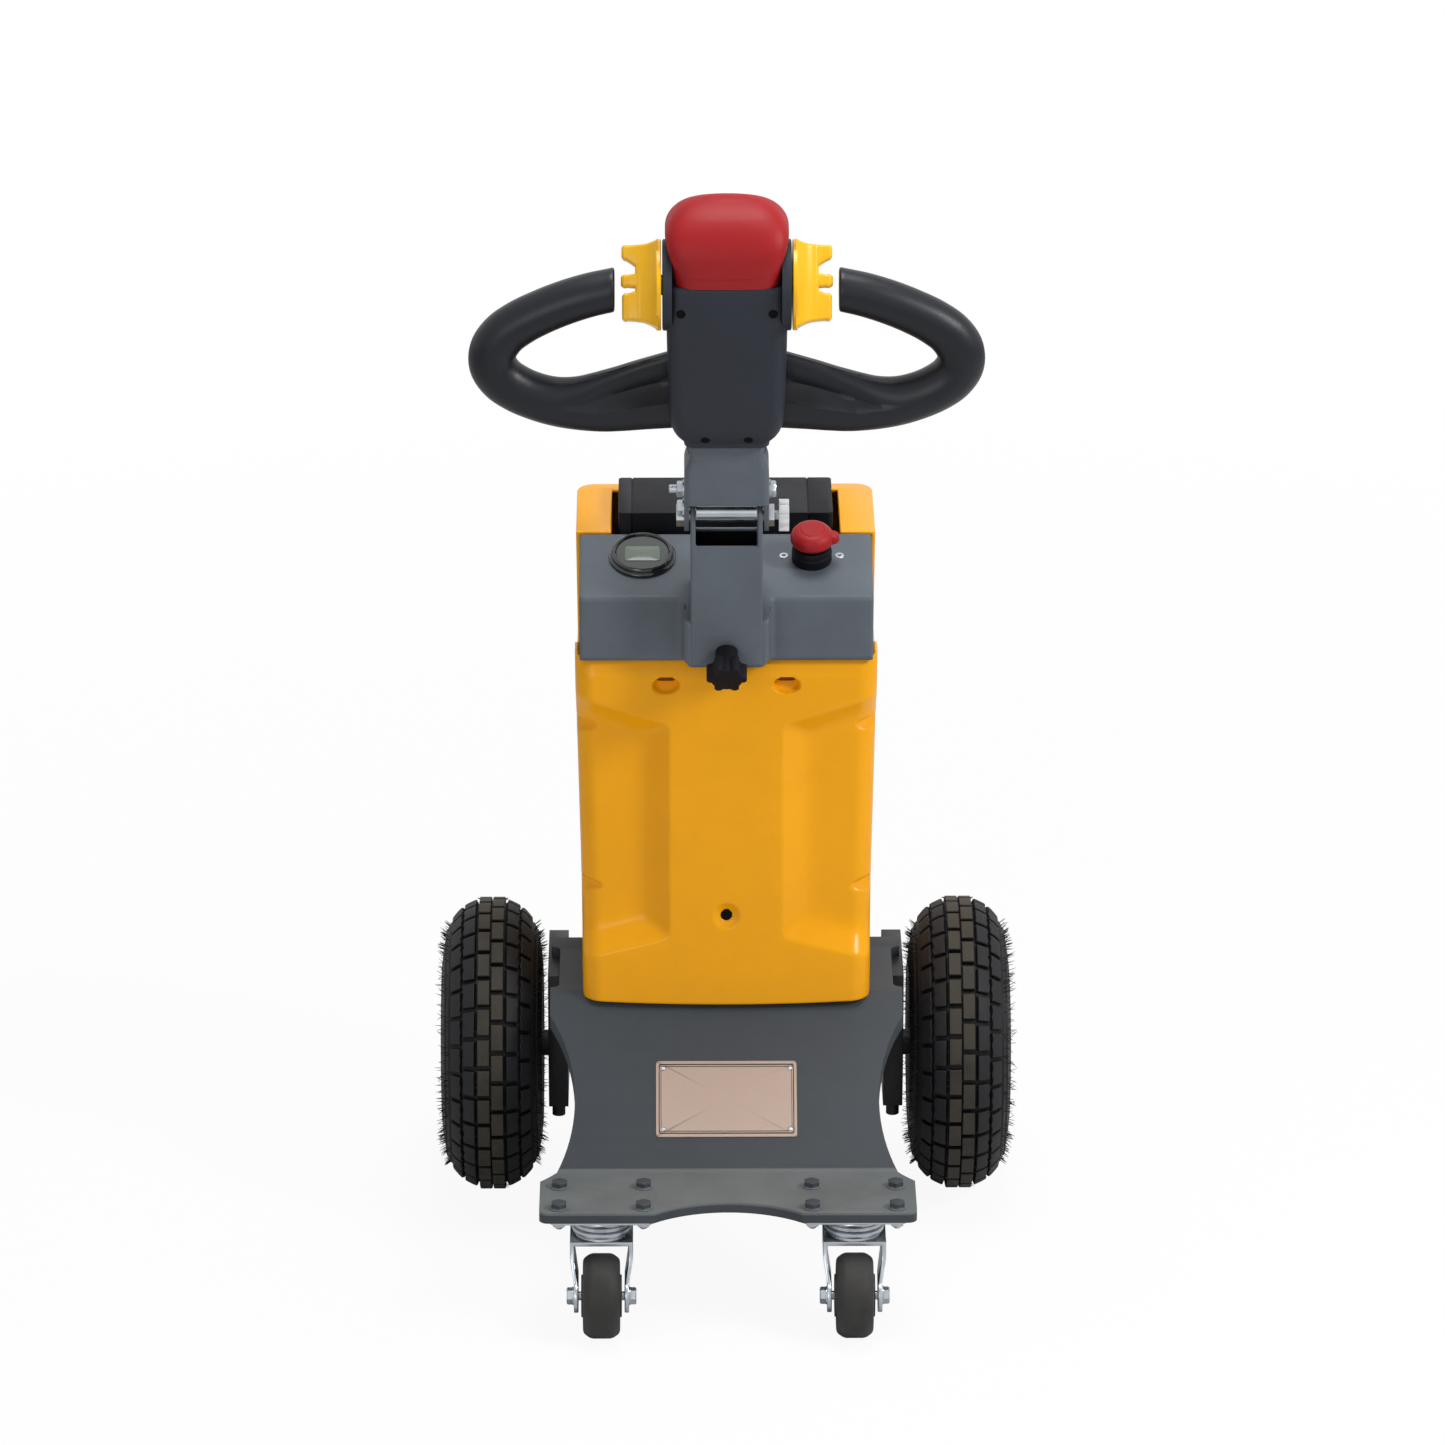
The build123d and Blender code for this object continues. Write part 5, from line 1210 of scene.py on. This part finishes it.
# Casters: pressed race under the plate, kingpin nut, and the axle's nuts
casterTrim = dict(
    casterX=0.1125, casterY=-0.228, axleY=-0.260, axleZ=0.038,
    raceTop=0.106, legOut=0.0245,
    race=(
        (0, 0), (27.5, 0), (29, 0.6), (29.6, 2), (29.2, 3.8), (27.2, 6.2), (24.4, 7.6), (23.6, 8.2),
        (0, 8.2),
    ),
    seal=((0, 8), (22, 8), (22, 11.2), (0, 11.2)),
    cup=((0, 11), (24.6, 11), (26.2, 12.2), (26.6, 14.4), (25.6, 16.6), (0, 16.8)),
    nut=(
        (0, 0), (8.2, 0), (8.2, 1.2), (6.7, 1.4, 1), (6.7, 5.6, 1), (6.2, 6.2, 0.4), (4.2, 6.4), (4, 6.5),
        (0, 6.5),
    ),
)


def makeCasterTrim(casterX, casterY, axleY, axleZ, raceTop, legOut, race, seal, cup, nut):
    for side, name in sides:
        x, fork = side * casterX, f"caster_fork_{name}"
        for label, shape, around, body, slotName in (
            ("Race", race, 72, "chassis", "zinc"), ("Seal", seal, 48, "chassis", "black_steel"),
            ("Cup", cup, 72, fork, "zinc"),
        ):
            grid = turned(shape, (x, casterY, raceTop), (0, 0, -1), around=around)
            addGrids(f"caster{label}_{name}", [grid], body, slotName)
        nuts = [turned(nut, (x + way * legOut, axleY, axleZ), (way, 0, 0), sides=6) for way in (-1, 1)]
        addGrids(f"casterNuts_{name}", nuts, fork, "zinc")


makeCasterTrim(**casterTrim)
print("caster trim made")


# Rims: lug bolts, a dust cap and the valve, at their radius and angle round the axle
rimTrim = dict(
    wheelX=0.215, axleY=0.098, axleZ=0.135, webOut=0.0095, hubOut=0.026,
    boltCircle=0.038, boltCount=5, boltPhase=0.25, valveRadius=0.044, valveTurn=-50.0,
    bolt=(
        (0, -1), (7.2, -1), (7.2, 1.2), (5.4, 1.5, 1), (5.4, 5.6, 1), (4.9, 6.3, 0.4), (3.2, 6.5),
        (3.2, 8.4), (2.6, 9), (0, 9),
    ),
    cap=(
        (0, -0.5), (20, -0.5), (20.6, 0.4), (20.6, 1.4), (19.6, 2), (15.4, 2.2), (14.6, 2.8),
        (13.4, 8.2), (11.8, 9.6), (9, 10.2), (0, 10.5),
    ),
    valve=(
        (0, -2), (4.6, -2), (4.4, 1), (3, 3), (2.8, 12), (3.4, 12.2), (3.4, 16), (2.8, 16.8),
        (0, 16.8),
    ),
)


def makeRimTrim(wheelX, axleY, axleZ, webOut, hubOut, boltCircle, boltCount, boltPhase, valveRadius,
                valveTurn, bolt, cap, valve):
    for side, name in sides:
        def onWheel(shape, out, radius, angle, **facts):
            y, z = axleY + radius * math.cos(angle), axleZ + radius * math.sin(angle)
            return turned(shape, (side * (wheelX + out), y, z), (side, 0, 0), **facts)

        angles = [2 * math.pi * (number + boltPhase) / boltCount for number in range(boltCount)]
        bolts = [onWheel(bolt, webOut, boltCircle, angle, sides=6) for angle in angles]
        addGrids(f"lugBolts_{name}", bolts, f"wheel_{name}", "zinc")
        grid = onWheel(cap, hubOut, 0, 0, around=72)
        addGrids(f"dustCap_{name}", [grid], f"wheel_{name}", "black_steel")
        grid = onWheel(valve, webOut, valveRadius, math.radians(valveTurn), around=28)
        addGrids(f"valve_{name}", [grid], f"wheel_{name}", "drive_tyre")


makeRimTrim(**rimTrim)
makeHitchBolts(**hitchBolts)
print("wheel and hitch fasteners made")


# Studio: a pale floor that meets a white background, soft lamps, a long lens
studio = dict(
    floorHalf=9.0, floorColour=(0.82, 0.82, 0.82, 1.0), cameraWhite=0.93,
    worldStrength=0.4, fade=(0.7, 2.6),
    lamps=(
        # place, aimed at, size, watts
        ((2.5, -1.3, 2.5), (0, 0, 0.5), 0.9, 62),
        ((-1.4, -4, 1.5), (0, 0, 0.5), 2, 30),
        ((0.2, 0, 3.6), (0, 0, 0.6), 1.4, 60),
    ),
)
photoView = dict(place=(-0.0481, -6.936, 3.010), pitch=20.0, yaw=0.37, lens=204.3, sensor=36.0)
white = (1.0, 1.0, 1.0, 1.0)


def makeFloor(half, colour, cameraWhite, fade):
    mesh = bpy.data.meshes.new("studioFloor")
    corners = [(-half, -half, 0), (half, -half, 0), (half, half, 0), (-half, half, 0)]
    mesh.from_pydata(corners, [], [(0, 1, 2, 3)])
    floor = bpy.data.objects.new("studioFloor", mesh)
    bpy.context.scene.collection.objects.link(floor)
    material = bpy.data.materials.new("studioFloor")
    shader = Shader(material)
    # further from the object the floor's white grows to the background's
    coords = shader.node("ShaderNodeTexCoord", {}, {}, "Object")
    away = shader.node("ShaderNodeVectorMath", {"operation": "LENGTH"}, {0: coords}, "Value")
    near, far = fade
    ramp = shader.node("ShaderNodeMapRange", {}, {0: away, 1: near, 2: far, 3: cameraWhite, 4: 1.0})
    share = shader.node("ShaderNodeLightPath", {}, {}, "Is Camera Ray") * ramp
    diffuse = shader.node("ShaderNodeBsdfDiffuse", {}, {0: colour})
    glow = shader.node("ShaderNodeEmission", {}, {0: white})
    mixed = shader.node("ShaderNodeMixShader", {}, {0: share, 1: diffuse, 2: glow})
    shader.end("ShaderNodeOutputMaterial", mixed)
    mesh.materials.append(material)


def makeWorld(strength):
    # White to the camera and in reflections, dimmer as a light
    world = bpy.data.worlds.new("studioWorld")
    bpy.context.scene.world = world
    shader = Shader(world)
    kinds = ("Is Camera Ray", "Is Glossy Ray", "Is Transmission Ray")
    camera, glossy, clear = (shader.node("ShaderNodeLightPath", {}, {}, kind) for kind in kinds)
    seen = shader.maths("MAXIMUM", camera, shader.maths("MAXIMUM", glossy, clear))
    plain = shader.node("ShaderNodeBackground", {}, {1: strength})
    shown = shader.node("ShaderNodeBackground", {}, {0: white, 1: 1.0})
    shader.end("ShaderNodeOutputWorld", shader.node("ShaderNodeMixShader", {}, {0: seen, 1: plain, 2: shown}))


def makeStudio(floorHalf, floorColour, cameraWhite, worldStrength, fade, lamps):
    makeFloor(floorHalf, floorColour, cameraWhite, fade)
    makeWorld(worldStrength)
    for number, (place, aim, size, watts) in enumerate(lamps):
        lamp = bpy.data.lights.new(f"lamp{number}", "AREA")
        lamp.shape = "DISK"
        lamp.size = size
        lamp.energy = watts
        holder = bpy.data.objects.new(f"lamp{number}", lamp)
        holder.location = place
        holder.rotation_euler = (Vector(aim) - Vector(place)).to_track_quat("-Z", "Y").to_euler()
        bpy.context.scene.collection.objects.link(holder)


def makeCamera(place, pitch, yaw, lens, sensor):
    camera = bpy.data.cameras.new("photoCamera")
    camera.lens = lens
    camera.sensor_width = sensor
    camera.clip_end = 50.0
    holder = bpy.data.objects.new("photoCamera", camera)
    holder.location = place
    holder.rotation_euler = (math.radians(90 - pitch), 0.0, math.radians(-yaw))
    bpy.context.scene.collection.objects.link(holder)
    bpy.context.scene.camera = holder


makeStudio(**studio)
makeCamera(**photoView)
bpy.context.scene.view_settings.view_transform = "Standard"
print("studio ready")
